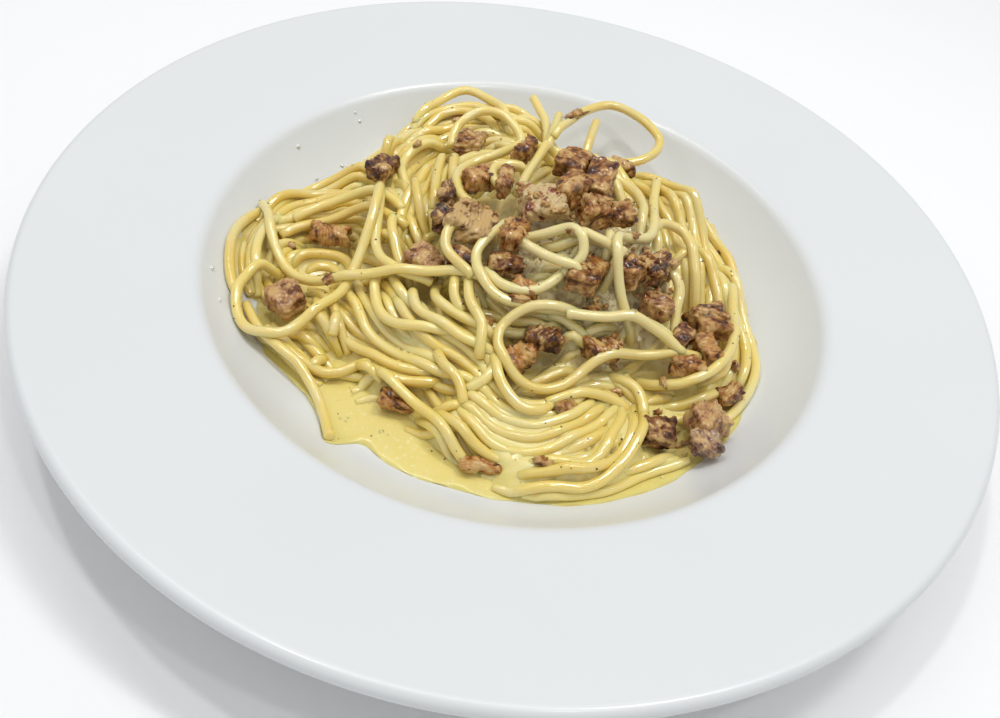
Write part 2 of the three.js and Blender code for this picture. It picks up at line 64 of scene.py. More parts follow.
# Plate
PLATE_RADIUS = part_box("plate")[1].x / MM
WELL_RADIUS = 88.8
FLOOR_RADIUS = 63.0
WELL_DEPTH = 18.5
RIM_RISE = 5.0
RIM_THICKNESS = 4.4
LIP_RADIUS = RIM_THICKNESS / 2
FLOOR_THICKNESS = 4.5
WALL_OUT = RIM_THICKNESS  # from the wall's inside to its outside, level and down
WALL_DOWN = 3.5
FOOT_HEIGHT = 3.0
FOOT_WIDTH = 5.0
FOOT_DRAFT = 2.0
FOOT_ROUNDING = 1.2
FLOOR_Z = FOOT_HEIGHT + FLOOR_THICKNESS
CREASE_Z = FLOOR_Z + WELL_DEPTH
CREASE_ROUNDING = 2.6
PLATE_TURNS = 288
WALL_STEPS = 16

# Heap: centre, half widths and height over the floor of the well of each dome, and how flat it is
DOMES = [
    ("summit", 8, 15, 50, 51, 34, 3),
    ("far fold", -22, 28, 32, 49, 24, 8),
    ("left lobe", -47, -4, 34, 34, 13, 5),
    ("left sweep", -30, -22, 38, 24, 14, 4),
    ("near twirl", 13, -37, 43, 32, 15, 3),
    ("right side", 40, 2, 33, 50, 18, 5),
    ("far right", 34, 32, 34, 34, 19, 5),
]
DOME_SHOULDER = 0.65  # how steeply a dome ends
DOME_BLEND = 5  # how sharply one dome gives way to the next
CORE_INSET = 4.0  # of the core's outline in the heap's
CORE_COVER = 11.0  # strands lying over the core
CORE_SHARE = 0.62  # the most of the heap's height that the cover takes

# Map of heights over the well
CELL = 0.5
HALF = 94.0  # half the side of the map
WIDTH = int(round(2 * HALF / CELL)) + 1
OVERHEAD = 100.0  # where the rays start that look for a piece's top

# Strands
STRAND_DIAMETER = 2.9
STRAND_RADIUS = STRAND_DIAMETER / 2
STRAND_STEP = 1.2  # between the points of a strand
ROUTE_SAMPLES = 12  # of the curve between two points of a route
STRAND_PITCH = 2.92  # between the strands of a bundle
BEND_RADIUS = 12.0  # the tightest hollow that a strand follows
FREE_BEND_RADIUS = 20.0  # the same of a single strand on top
STIFFENING = 4 * (12, 6, 3, 2, 1)  # the spans that are bridged, in steps to each side
HEIGHT_EASING = 3.5  # the length over which its heights are smoothed
PRESS = 3.4  # how far the bacon under a strand gives way
END_DIP = 4.4  # how far the ends of a strand sink into the heap
END_REACH = 10.0  # and over what length
FREE_END_DIP = 2.2  # how far the ends of a single strand on top sink
TAPER = 4.0  # the length over which a hidden end narrows
TAPER_END = 0.75  # to this share of the strand's radius
CAP_RINGS = ((0.82, 0.28), (0.45, 0.42))  # of a rounded end: share of the radius, and how far out
UNEVEN = (0.022, 9)  # the share by which a strand's thickness changes, and over what length
REST_GAP = 0.15  # between a strand and the plate or the bacon
POOL_SINK = 1.8  # how far a strand sinks into the pool
SINK = 0.25  # how far a strand presses into those under it
LID_Z = cad_box[1].z / MM - 0.4  # over which no strand reaches
STRAND_WANDER = (0.85, 22)  # how far a strand strays in its bundle, and over what length
RAGGED_STEPS = 5  # by which the strands of a bundle end apart
SHORTEST_STRETCH = 5.0  # of a strand between two pieces of bacon
UNDER_SIDES = 8  # of a strand's cross section: under the bundles, in them, and on top
BUNDLE_SIDES = 12
TOP_SIDES = 14
# Strands under the bundles keep to darker, deeper tones: painted shade
UNDER_SHADE_PALENESS = 0.4  # the palest tone under the bundles, where 1 is the palest of all

# How a strand slips sideways into a groove: how far, in how many trials, over what length the
# trials are compared, what a millimetre of slipping costs in height, and the length of the easing
GROOVE_REACH = 1.5
BUNDLE_GROOVE_REACH = 1.0
GROOVE_TRIALS = 7
GROOVE_LENGTH = 9
GROOVE_COST = 0.12
GROOVE_EASING = 8

# Fillers, strands that wind round the heap and cover the core from every side
FILLERS = 84
FILLER_FIELD = 80.0  # half width of the square in which they start
FILLER_START = (3.0, 3.0)  # how far inside the heap's outline, and the least height there
FILLER_LENGTH = (45, 120)
FILLER_SHORTEST = 22.0
FILLER_TILT = 0.35  # radians from the slope's level line
FILLER_CLOCKWISE = 0.72  # the share that winds this way round
WINDING_RADIUS = 11.0  # the tightest bend in plan
SLOPE_REACH = 1.5  # to each side, over which the slope is taken
FLAT_FALL = 0.6  # the fall over that reach under which a strand turns evenly instead
FLAT_TURN = 0.03  # radians a step
HEAP_EDGE = (2.5, 1.2)  # how far inside the outline a strand stops, and at what height

# Short strands in the hollows that the bundles leave between the pieces of bacon
HOLLOWS = 60
HOLLOW_TRIES = 60  # places looked at for each strand
HOLLOW_FIELD = 60.0
HOLLOW_DEPTH = 6.5  # under the heap's top, from which a strand is laid in one
HOLLOW_HEAP = 12.0  # the height of the heap over the floor where they are looked for
HOLLOW_LENGTH = (14, 30)
HOLLOW_TILT = 0.4
HOLLOW_CLOCKWISE = 0.5

# Pool: direction from +X in degrees, anticlockwise, and the radius of its edge
POOL_DEPTH = 1.9
POOL_Z = FLOOR_Z + POOL_DEPTH
FILM_DEPTH = 0.5  # of the sauce that clings to the wall above the pool's level
EDGE_REACH = 2.5  # the width of the pool's rounded edge
EDGE_EASING = (-0.7, 0, 0.7)  # degrees over which the edge's corners are rounded
EDGE_WAVES = ((0.3, 0.35, 0), (0.15, 0.83, 1))  # height, radians a degree and start
RIPPLE = 0.06  # the height of the pool's faint ripples
POOL_TURNS = 360
POOL_RINGS = 46
POOL_CROWDING = 1.6  # how the rings crowd towards the edge
POOL_MIDDLE = 0.02  # the first ring's share of the radius
POOL_INSET = 0.05  # of its mesh in its edge
SEAT = 0.02  # between the sauce and the plate under it
POOL_EDGE = [
    (0, 73.6), (12, 70.0), (30, 69.0), (60, 68.0), (90, 67.0), (120, 65.5), (130, 66.5),
    (138, 71.0), (146, 70.0), (155, 69.0), (180, 74.0), (205, 74.0), (212, 75.0), (215, 72.8),
    (219, 70.6), (225, 69.6), (230, 70.8), (233, 72.0), (236.5, 74.8), (239, 77.0), (240.2, 75.6),
    (240.9, 71.2), (241.8, 69.0), (244, 68.4), (247, 69.6), (250, 70.1), (266, 70.1), (279, 71.0),
    (287, 72.8), (293, 73.4), (299, 74.4), (306, 74.7), (319, 74.6), (335, 74.8), (348, 73.2),
    (360, 73.6),
]

# Cream between the strands
CREAM_DEPTH = 1.4  # under the smoothed tops of the strands
CREAM_UNEVEN = 0.6  # how much that depth changes
CREAM_PATCH = 14  # in patches of this size
CREAM_LEAST_DEPTH = 0.8
CREAM_EASING = 1.5  # the reach of the smoothing
CREAM_BASE = 0.5  # the height over the pool from which a strand counts
CREAM_CLIMB = 0.8  # how far the cream climbs a step, and the most that it stays back from one
CREAM_CLIMB_MOST = 2.0
CREAM_CLIMB_CELLS = 4  # the half width of such a step
CREAM_OVER_CORE = 4.0  # the most that it rises to hide the core
CREAM_RIM = (0.55, 0.9)  # the share of strands round a place where it starts, and where it is whole
CREAM_TUCK = 0.3  # how far the cream's edge lies in the pool
CREAM_LID = 1.2  # the most that it stands over the strands
CREAM_STEP = 2  # cells of the map to a cell of the cream's mesh
CREAM_ROOT = 0.4  # how far the cream's mesh reaches into the plate or the pool

# Spoonfuls of cream that cover the strands: place, half widths and height
CREAM_SPOTS = [
    (19, -31, 7, 4, 1.9), (2, 13, 7, 6, 2.0), (27, -28, 5, 3.5, 1.7), (46, -37, 7, 4, 1.2),
    (8, -64, 7, 5, 2.2), (8, -24, 6, 3, 1.4), (36, -14, 6, 5, 1.5), (22, 4, 6, 6, 1.5),
    (-14, -6, 6, 5, 1.3), (12, 24, 8, 9, 1.3), (-30, -52, 10, 6, 1.4), (48, -50, 9, 5, 1.5),
    (60, -20, 6, 9, 1.3), (2, -61.5, 6, 4, 1.6), (11, -54, 26, 11, 0.7), (-36, 14, 9, 15, 0.8),
    (-28, -33, 18, 6, 0.7), (51, 18, 14, 28, 1.5), (-57, 2, 16, 16, 0.6), (-24, 50, 20, 12, 0.7),
]

# The mash of cream and bacon in the middle: centre, half widths, and how sharply it ends
MASH = (20, -2, 34, 30)
MASH_SHARPNESS = 2.6
MASH_DEPTH = 5.5  # under the top of the heap
MASH_FALL = 20.0  # how far it sinks away outside
MASH_LUMPS = ((5, 2, 1.0), (2.6, 3, 0.7))  # size, seed and height

# Bacon. The look of each piece, by the order of its number: b browned, d dark, p pink, f fat,
# o orange, c creamy, u purple
BACON_LOOKS = "bbbbcfdopddoobdbbdbdbopbdbpbdoodoboodpub"
BACON_VOXEL = 0.48
BACON_WEAR = 6  # rounds of smoothing
BACON_SWELL = 0.6  # outwards, all over
BACON_LUMPS = (4.2, 1.1)  # size and height of the lumps, then of the wrinkles and the grain
BACON_WRINKLES = (1.7, 0.7)
BACON_GRAIN = (0.8, 0.15)
BACON_LAYERS = (3.6, 0.25)  # radians a millimetre, and height
BACON_LAYER_BEND = (4, 2.6)  # size and strength of the layers' waves
BACON_TONE_STEP = 1.7  # between the layers of one piece and those of the next
BACON_RISE = 0.01  # over the pool, from which a cell is covered by bacon
BACON_HOLD = 2  # cells by which a strand runs into a piece of bacon
FAT_COLOR = (0.58, 0.37, 0.14)

# Colours of each look, burnt, dark and meat, and how much of it is fat
BACON_COLORS = {
    "b": ("browned", (0.06, 0.018, 0.005), (0.18, 0.06, 0.012), (0.37, 0.16, 0.036), 0.24),
    "d": ("dark", (0.03, 0.01, 0.006), (0.09, 0.028, 0.01), (0.23, 0.09, 0.028), 0.2),
    "p": ("pink", (0.13, 0.045, 0.015), (0.31, 0.14, 0.05), (0.48, 0.26, 0.11), 0.34),
    "f": ("fat", (0.10, 0.04, 0.012), (0.32, 0.16, 0.05), (0.53, 0.36, 0.15), 0.3),
    "o": ("orange", (0.06, 0.018, 0.005), (0.28, 0.105, 0.022), (0.48, 0.22, 0.055), 0.28),
    "c": ("creamy", (0.14, 0.03, 0.01), (0.36, 0.13, 0.05), (0.62, 0.49, 0.26), 0.3),
    "u": ("purple", (0.06, 0.02, 0.014), (0.17, 0.075, 0.045), (0.35, 0.20, 0.12), 0.26),
}

# Crumbs of bacon: place in plan, length, width and turn
CRUMBS = [
    (-28, 62, 4, 3, 20), (-51, -18, 4, 3, 70), (42, -13, 4, 3, 10), (15, -62, 5, 3, 5),
    (65, -15, 4, 3, 80), (33, -32, 6, 2.5, 15), (18, -44, 6, 4, 30), (-6, -26, 4, 3, 50),
    (-67, -2, 4, 2.5, 0), (46, 1, 4, 3, 60), (52, -42, 5, 1.6, 25), (49, -40, 5, 1.5, 50),
    (2, -22, 6, 2.5, 0), (-30, -4, 3, 2, 30), (22, 30, 4, 2.5, 80), (3, 22, 4, 2.5, 10),
    (30, 4, 3, 2, 40), (44, -30, 3.5, 2, 100), (-38, 40, 3, 2, 60), (12, -5, 3, 2, 0),
    (8.5, 66.5, 8, 3, 50), (-55, -8, 4, 2.5, 20),
]
CRUMB_HEIGHT = 1.8
TOP_Z = 44.0  # over which no crumb or bit lies

# Small bits of bacon strewn round the middle of the heap: centre, spread and count
BITS = (18, -3, 17, 260)
BIT_SIZE = (0.9, 3.0)

PEPPER_COUNT = 340
PEPPER_FIELD = 80.0
PEPPER_SIZE = (0.25, 0.75)
PEPPER_IN_POOL = 0.5  # the share that stays of what falls there

# Pale glossy drops on the wall of the well: their pale colour is a painted highlight of white glints there,
# and their gloss also catches the lamps
GLINT_DROPS = [
    (-62.3, 59.7), (-60.6, 58.8), (-75.7, 38.6), (-62.7, 43.8), (-61.2, 44.6), (-68.7, 34.4),
    (-82.8, -21.9), (-77.8, -30.8),
]
GLINT_DROP_SIZE = (0.9, 1.5)

# Foam and flecks of egg in the pool, in patches: centre, spread and count
FLECK_PATCHES = [(38, -50, 7, 24), (-30, -56, 14, 10)]
FLECK_SIZE = (0.5, 1.5)
FLECK_INSET = 2.0  # from the pool's edge, for pepper too

POOL_COLOR = (0.78, 0.65, 0.21)
CREAMIEST = (0.018, -0.004, 0.038)  # where the strands carry most cream, in metres

# Camera: its distance from the middle of the crease's circle, and its angles in degrees
CAMERA_DISTANCE = 286.7
CAMERA_ELEVATION = 41.93
CAMERA_PAN = -0.10
CAMERA_TILT = -5.76
CAMERA_ROLL = 10.65
LENS = 36.0
SENSOR = 36.0

# Studio. Lamps: place, length along X, width and power in watts
LAMPS = [
    ("key", (270, 110, 850), 160, 160, 1.5),
    ("strip", (60, 170, 820), 1300, 30, 1.7),
    ("lamp", (-190, 60, 860), 60, 60, 1.1),
    ("side lamp", (210, -240, 820), 60, 60, 0.6),
    ("fill", (-420, -200, 620), 400, 400, 0.3),
]
SKY_COLOR = (0.97, 0.985, 1.0)
SKY_STRENGTH = 0.505
STAGE_HALF = 4000.0

# Routes of the strands in plan, from the lowest to the highest: the name, how many strands the
# bundle has, and its middle
BUNDLES = [
    ("far outer", 4, [
        (-47, 12), (-51, 26), (-50, 42), (-44, 54), (-33, 63), (-19, 67), (-6, 66), (5, 60),
    ]),
    ("far inner", 5, [
        (-41, 18), (-45, 32), (-43, 44), (-36, 54), (-25, 59), (-12, 59), (0, 55), (9, 49),
    ]),
    ("far middle", 4, [(-34, 8), (-37, 22), (-37, 35), (-31, 46), (-21, 52), (-9, 51), (3, 46)]),
    ("fold in", 3, [(-29, 51), (-36, 46), (-42, 38), (-44, 29), (-41, 21), (-34, 14), (-26, 9)]),
    ("far back", 4, [(-18, 62), (-4, 63), (10, 62), (24, 60), (37, 54), (47, 46), (55, 36)]),
    ("left edge", 3, [
        (-42, 29), (-47, 32), (-56, 32), (-67, 26), (-75, 13), (-78, -2), (-76.5, -13), (-71, -25),
        (-62.5, -33), (-53, -39), (-43, -44),
    ]),
    ("left top", 4, [(-76, 4), (-71, 13), (-62, 19), (-52, 21), (-44, 17), (-38, 8)]),
    ("left cross", 3, [(-74, 2), (-66, 8), (-56, 11), (-47, 9), (-41, 3), (-36, -4)]),
    ("left inner", 3, [(-67, -16), (-68, -6), (-62, 1), (-54, 2), (-47, -3), (-44, -12), (-45, -22)]),
    ("left arcs", 2, [(-66, -12), (-63, -5), (-57, -2), (-51, -4), (-48, -11), (-49, -19)]),
    ("right outer", 3, [(40, 48), (52, 38), (60, 26), (64, 12), (65, -2), (64, -14), (60, -25), (52, -33)]),
    ("right far", 4, [(8, 46), (20, 46), (33, 43), (44, 36), (52, 26), (57, 14), (60, 2)]),
    ("right up", 5, [(24, 44), (36, 40), (44, 30), (48, 18), (50, 6), (52, -5)]),
    ("right low", 4, [(40, -34), (52, -32), (61, -26), (66, -16), (66, -4), (62, 10), (55, 24)]),
    ("lower arc", 1, [
        (-70, -29), (-66, -33), (-57, -37.5), (-49, -41.5), (-42, -42), (-36, -39), (-31, -36), (-26, -33),
    ]),
    ("lower left", 2, [(-38, -47), (-31, -43), (-24, -43), (-16, -43)]),
    ("left sweep", 6, [
        (-60, -11), (-55, -17), (-47, -22.5), (-39, -27), (-32, -31.5), (-25, -35), (-17, -35.5), (-9, -33),
    ]),
    ("inner drop", 2, [(-44, 13), (-42, 4), (-39, -4), (-33, -9.5), (-26, -13)]),
    ("inner drop right", 2, [(-38, 9), (-36, 3), (-34, -3), (-29, -7), (-22, -10)]),
    ("middle sweep", 5, [(-44, -6), (-40, -15), (-34, -23), (-26, -30), (-17, -35), (-8, -37), (-1, -39)]),
    ("middle right", 4, [(-29, -13), (-24, -21), (-17, -28), (-9, -34), (-3, -39), (0, -45)]),
    ("near right", 3, [(9, -64), (22, -63), (35, -58), (46, -51), (55, -42)]),
    ("shelf", 4, [(-6, -42), (2, -44), (11, -44), (20, -40), (29, -36), (38, -33)]),
    ("twirl", 7, [
        (-12, -44), (-6, -50), (3, -54), (12, -54), (20, -50), (26, -44), (29, -37), (29, -31),
    ]),
    ("outer twirl", 3, [
        (35, -32), (36.5, -39), (35.5, -47), (32, -55), (26.5, -60.5), (18, -63), (10, -63.5), (2, -61.5),
    ]),
    ("fold band", 4, [(-47, 30), (-45, 24), (-42, 18), (-38, 12), (-33, 8), (-28, 3), (-24, 0)]),
    ("summit left", 4, [(-30, -2), (-31, 9), (-29, 20), (-26, 31), (-20, 40), (-10, 46)]),
    ("summit arcs", 3, [(-22, 4), (-25, 15), (-23, 26), (-16, 35), (-6, 39), (4, 38)]),
    ("small arcs", 2, [(-14, 10), (-19, 18), (-17, 27), (-10, 32), (-3, 29), (-3, 20)]),
    ("summit right", 3, [(-6, 2), (-5, 14), (-2, 26), (4, 37), (9, 46)]),
    ("summit far", 4, [(30, 8), (31, 20), (28, 31), (20, 39), (9, 43), (-2, 43)]),
    ("centre", 5, [(-20, -16), (-8, -20), (5, -19), (15, -13), (22, -4), (24, 8)]),
    ("centre right", 5, [(-2, -6), (8, -9), (18, -8), (28, -12), (38, -14)]),
]

# Single strands on top. Those marked over ride on the bacon, and those marked sunk lie on the plate,
# in the pool. A point's third value is the height over the crease at which a free loop stands there.
SINGLES = [
    ("left sheet", "under", [(-70, 1), (-65, 5.5), (-58, 8.5), (-51, 11), (-44, 9), (-39, 5), (-34, 3)]),
    ("left sheet far", "under", [(-68, 8), (-61, 13), (-54, 16), (-47, 16), (-41, 12), (-36, 8)]),
    ("droop", "sunk", [
        (-72, -27), (-66, -35), (-59, -40), (-52, -44), (-46, -50), (-42, -57), (-39, -64),
    ]),
    ("sunk strand", "sunk", [(-31, -42), (-26, -46), (-16, -53), (-7, -61), (-1, -63)]),
    ("short bottom", "under", [(-46.5, -27), (-46.4, -35.5), (-49.5, -42)]),
    ("near stub", "under", [(-17, -36), (-14.5, -40), (-10, -44), (-7.5, -49)]),
    ("near stub right", "under", [(0, -35), (-1.5, -39), (-3.5, -43), (-7, -45)]),
    ("drop outer", "under", [(-38, -13), (-38, -19), (-34, -27), (-26, -31), (-14, -30)]),
    ("drop left", "under", [(-28, -10), (-28, -16), (-25, -25), (-17, -30), (-8, -34), (1, -35)]),
    ("drop middle", "under", [(-21, -11), (-21.5, -16), (-20, -22), (-12, -27), (-4, -30), (4, -32)]),
    ("drop short", "under", [(-16, -11), (-16.5, -15), (-16, -21), (-13, -25)]),
    ("drop right", "under", [(-12, -10), (-13, -14), (-11.5, -23), (-7, -30), (-6, -37)]),
    ("cut piece", "under", [(-33, -15), (-31, -12), (-27, -6)]),
    ("upright", "under", [(-25, 46), (-28, 41), (-29, 33), (-29, 25), (-28.5, 18), (-27.5, 10)]),
    ("top arc low", "under", [
        (-42, 55, -9), (-38, 61, -3), (-32, 66, 0), (-24, 67, 0), (-15, 62, 0), (-11, 56, -3),
    ]),
    ("top arc inner", "under", [(-38, 55, -3), (-34, 61, 1), (-27, 64, 2), (-20, 62, 2), (-15, 56, 0)]),
    ("top arc", "under", [
        (-42, 57, -5), (-37, 65, 1), (-33, 70, 3), (-28, 73, 4), (-22, 71, 4), (-17, 67, 2), (-12, 58, 0),
    ]),
    ("second arc", "under", [
        (-28, 44, 2), (-28, 49, 4), (-26, 53, 6), (-21, 57, 8), (-14, 57, 8), (-8, 52, 6), (-6, 46, 4),
    ]),
    ("far stub", "under", [(2, 54, -2), (0, 65, 2), (-3, 71, 3), (-6, 76, 4)]),
    ("second stub", "under", [(1, 50, 0), (2.5, 57, 4), (3, 62, 5), (3.5, 66, 6)]),
    ("third stub", "under", [(14, 54, 0), (15, 62, 3), (16, 69, 4)]),
    ("right curl", "under", [(36, 15), (39, 19), (45, 19), (48, 14), (50, 7), (52, 0), (54, -6)]),
    ("inner arc", "under", [(-2, -36), (0, -42), (4, -46), (8, -48), (12, -47), (16, -43)]),
    ("cut end", "under", [(14, -43), (21, -39.5), (26.5, -37), (31, -36), (35.5, -36.5)]),
    ("short curl", "under", [(30, -28), (34, -30), (37, -32), (39, -35), (40, -39)]),
    ("gap strand", "under", [(-38, 4), (-37.5, 0), (-35, -6), (-32.5, -10.5), (-29, -14)]),
    ("summit hook", "over", [
        (4, 40), (-2, 36), (-8, 33.5), (-14, 31), (-19, 27.5), (-22, 23), (-22.5, 17), (-21, 11), (-17, 6),
        (-11, 3),
    ]),
    ("inner hook", "over", [(-3, 26), (-9, 24.5), (-12.5, 21), (-12, 16), (-9, 13)]),
    ("summit strand", "over", [(5, 44), (1.5, 37), (-1, 29), (-3, 21), (-4.5, 13)]),
    ("centre arc", "over", [(-9, -15), (-4, -19), (4, -19), (10, -15), (14, -9)]),
    ("curl", "over", [(0, -3), (5, -3), (11, -3), (15, -6), (16, -10), (12, -13)]),
    ("straight", "over", [(-2, -6), (3, -9), (10, -12), (18, -14)]),
    ("right loop", "over", [
        (63, 12), (63, 2), (63, -8), (61, -18), (56, -26), (49, -30), (42, -29), (38, -26),
    ]),
    ("left branch", "over", [
        (-44, 15), (-43, 9), (-42, 2), (-41, -5), (-38.5, -10), (-35, -13), (-31, -15), (-23, -16),
    ]),
    ("left loop", "over", [
        (-66.5, -12), (-71.5, -15), (-74, -21), (-74.5, -26.5), (-72, -33), (-68, -37), (-63, -38),
        (-58.5, -37), (-54.5, -33), (-50.5, -27), (-47, -21), (-45, -12), (-43.5, -1), (-43.5, 8),
        (-44.5, 16),
    ]),
    ("long curve", "over", [
        (-79, 12), (-75.5, 6), (-71, -4), (-65, -11.5), (-58.5, -15.5), (-49.5, -17), (-38, -16.5),
        (-26, -16), (-16, -16), (-10, -17),
    ]),
    ("left of curve", "over", [(-19, -2), (-21, -7), (-20.5, -11.5), (-17.5, -14.5), (-12, -17.5)]),
    ("right bow", "over", [
        (37, 44), (36, 32), (36, 20), (35, 10), (29, 4), (25, -2), (25, -8), (28, -14), (34, -19),
    ]),
    ("right short", "over", [(42, 0), (45, -5), (45, -11), (46, -17)]),
    ("middle curve", "over", [
        (-4, 6), (-7, 0), (-10, -6.5), (-12, -12), (-10, -18), (-4, -22), (5, -22), (15, -21), (28, -19),
        (40, -17), (47, -19),
    ]),
    ("middle loop", "over", [
        (53, -21), (42, -23), (32, -26), (24, -31), (17, -38), (10, -41), (4, -40), (-1, -35), (-2, -30),
        (1, -26), (8, -23), (17, -21),
    ]),
    ("doubled", "over", [(15, -23), (24, -22), (33, -20), (42, -20), (48, -22)]),
    ("far loop", "over", [
        (3, 56, 0), (6.5, 63, 4), (11, 70, 6), (20, 77, 6), (29.5, 71.5, 7), (36, 65, 6), (37, 61, 5),
        (35, 56.5, 4), (29, 52, 3), (19, 51, 2), (10, 51, 2), (3, 52, 0),
    ]),
]

# Gaps in the heap, where the plate shows: centre and half widths
GAPS = [(-69.3, -26.0, 4.0, 6.5), (-43.5, -36.2, 4.5, 2.2)]

random = np.random.default_rng(SEED)


# ---- Meshes ----


def new_mesh(name, vertices, faces):
    mesh = bpy.data.meshes.new(name)
    mesh.from_pydata((np.asarray(vertices) * MM).tolist(), [], faces)
    return mesh


def new_object(name, data):
    made = bpy.data.objects.new(name, data)
    bpy.context.scene.collection.objects.link(made)
    return made


def new_piece(name, mesh, material, replaced=()):
    """An object of the mesh, with its material and the nodes that it stands for."""
    mesh.materials.clear()
    mesh.materials.append(material)
    mesh.shade_smooth()
    piece = new_object(name, mesh)
    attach(piece, BODY)
    if replaced:
        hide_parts(*replaced)
    return piece


def add_tone(piece, values):
    """Keeps one number for each vertex, which the material reads as tone."""
    tone = piece.data.attributes.new("tone", "FLOAT", "POINT")
    tone.data.foreach_set("value", np.asarray(values, np.float32))


def directions(turns):
    return np.linspace(0, 2 * math.pi, turns, endpoint=False)


def ring_faces(rings, turns):
    """Quads from each ring of vertices to the next. Seen from the side that they face, the rings
    follow each other to the right and their vertices run upwards."""
    faces = []
    for start in range(0, (rings - 1) * turns, turns):
        for i in range(turns):
            a, b = start + i, start + (i + 1) % turns
            faces.append((a, a + turns, b + turns, b))
    return faces


def shell(rings, first, last):
    """Vertices and faces of a shell through rings of points, closed by a point at each end."""
    count, turns = rings.shape[:2]
    faces = ring_faces(count, turns)
    end = (count - 1) * turns
    for i in range(turns):
        after = (i + 1) % turns
        faces.append((count * turns, i, after))
        faces.append((count * turns + 1, end + after, end + i))
    return np.vstack([rings.reshape(-1, 3), first, last]), faces


# ---- Plate ----


def well_height(radius):
    share = (np.asarray(radius, float) - FLOOR_RADIUS) / (WELL_RADIUS - FLOOR_RADIUS)
    return FLOOR_Z + WELL_DEPTH * np.clip(share, 0, 1) ** 2


def wall_points(outwards, down):
    radii = np.linspace(FLOOR_RADIUS, WELL_RADIUS, WALL_STEPS + 1)
    return [(radius + outwards, float(well_height(radius)) - down) for radius in radii]


def rounded_corner(before, corner, after, reach, steps):
    """A corner of a profile as a curve that starts and ends at the given reach from it."""
    corner = Vector(corner)
    start = corner + (Vector(before) - corner).normalized() * reach
    end = corner + (Vector(after) - corner).normalized() * reach
    shares = [i / steps for i in range(steps + 1)]
    return [tuple(start * (1 - t) ** 2 + corner * 2 * t * (1 - t) + end * t**2) for t in shares]


def plate_profile():
    """From the middle of the well's floor over the rim and the foot to the middle underneath."""
    rim_top = CREASE_Z + RIM_RISE
    lip = (PLATE_RADIUS - LIP_RADIUS, rim_top - LIP_RADIUS)
    foot_outer = FLOOR_RADIUS - FOOT_DRAFT
    foot_inner = foot_outer - FOOT_WIDTH
    floor = [(radius, FLOOR_Z) for radius in np.linspace(0, FLOOR_RADIUS, 9)[:-1]]
    wall = wall_points(0, 0)
    crease = rounded_corner(wall[-2], (WELL_RADIUS, CREASE_Z), (lip[0], rim_top), CREASE_ROUNDING, 6)
    rim = [
        (radius, np.interp(radius, (WELL_RADIUS, lip[0]), (CREASE_Z, rim_top)))
        for radius in np.linspace(WELL_RADIUS + 3, lip[0] - 1, 12)
    ]
    edge = [
        (lip[0] + LIP_RADIUS * math.cos(angle), lip[1] + LIP_RADIUS * math.sin(angle))
        for angle in np.linspace(math.pi / 2, -math.pi / 2, 15)
    ]
    underside = wall_points(WALL_OUT, WALL_DOWN)[::-1]
    outer, inner = (foot_outer, 0), (foot_inner, 0)
    inside = (foot_inner - FOOT_DRAFT, FOOT_HEIGHT)
    foot = rounded_corner(underside[-1], outer, inner, FOOT_ROUNDING, 4)
    foot += rounded_corner(outer, inner, inside, FOOT_ROUNDING, 4)
    return floor + wall[:-1] + crease + rim + edge + underside + foot + [inside, (0, FOOT_HEIGHT)]


def make_plate(material):
    profile = np.array(plate_profile())
    angles = directions(PLATE_TURNS)
    radii, heights = profile[1:-1, :1], profile[1:-1, 1:]
    rings = np.stack(
        [radii * np.cos(angles), radii * np.sin(angles), np.repeat(heights, PLATE_TURNS, 1)], -1
    )
    mesh = new_mesh("plate_glazed", *shell(rings, (0, 0, profile[0, 1]), (0, 0, profile[-1, 1])))
    new_piece("plate_glazed", mesh, material, ["plate"])


# ---- Maps of heights ----


def map_axes():
    line = np.arange(WIDTH) * CELL - HALF
    return np.meshgrid(line, line)


MAP_X, MAP_Y = map_axes()
PLATE_RELIEF = well_height(np.hypot(MAP_X, MAP_Y))


def heap_height(x, y, inset):
    """The heap's height over the floor of the well, with its outline drawn in by the inset."""
    total = np.zeros_like(x, float)
    for _, centre_x, centre_y, half_x, half_y, height, flatness in DOMES:
        reach = np.hypot((x - centre_x) / (half_x - inset), (y - centre_y) / (half_y - inset))
        dome = height * np.clip(1 - reach**flatness, 0, 1) ** DOME_SHOULDER
        total += dome**DOME_BLEND
    return total ** (1 / DOME_BLEND)


def core_height(x, y):
    height = heap_height(x, y, CORE_INSET)
    return FLOOR_Z + height - np.minimum(CORE_COVER, height * CORE_SHARE)


def pool_radius(angle):
    degrees = np.degrees(angle)
    table = np.array(POOL_EDGE)
    near = [np.interp(degrees + turn, table[:, 0], table[:, 1], period=360) for turn in EDGE_EASING]
    waves = sum(height * np.sin(rate * degrees + start) for height, rate, start in EDGE_WAVES)
    return sum(near) / len(near) + waves


def pool_height(x, y):
    """The pool's surface: level, then a thin film up the wall, with a rounded edge."""
    well = well_height(np.hypot(x, y))
    inside = pool_radius(np.arctan2(y, x)) - np.hypot(x, y)
    rounding = 1 - (1 - np.clip(inside / EDGE_REACH, 0, 1)) ** 2
    ripples = np.sin(0.75 * x + 1.6 * np.sin(0.31 * y)) + np.sin(0.68 * y + 1.9 * np.sin(0.27 * x))
    surface = np.maximum(POOL_Z, well + FILM_DEPTH * rounding) + RIPPLE * ripples
    return np.minimum(surface, well + POOL_DEPTH * rounding)


def cell_of(places):
    return np.round((np.asarray(places) + HALF) / CELL).astype(int)


def height_at(relief, x, y):
    column, row = cell_of((x, y))
    return float(relief[row, column])


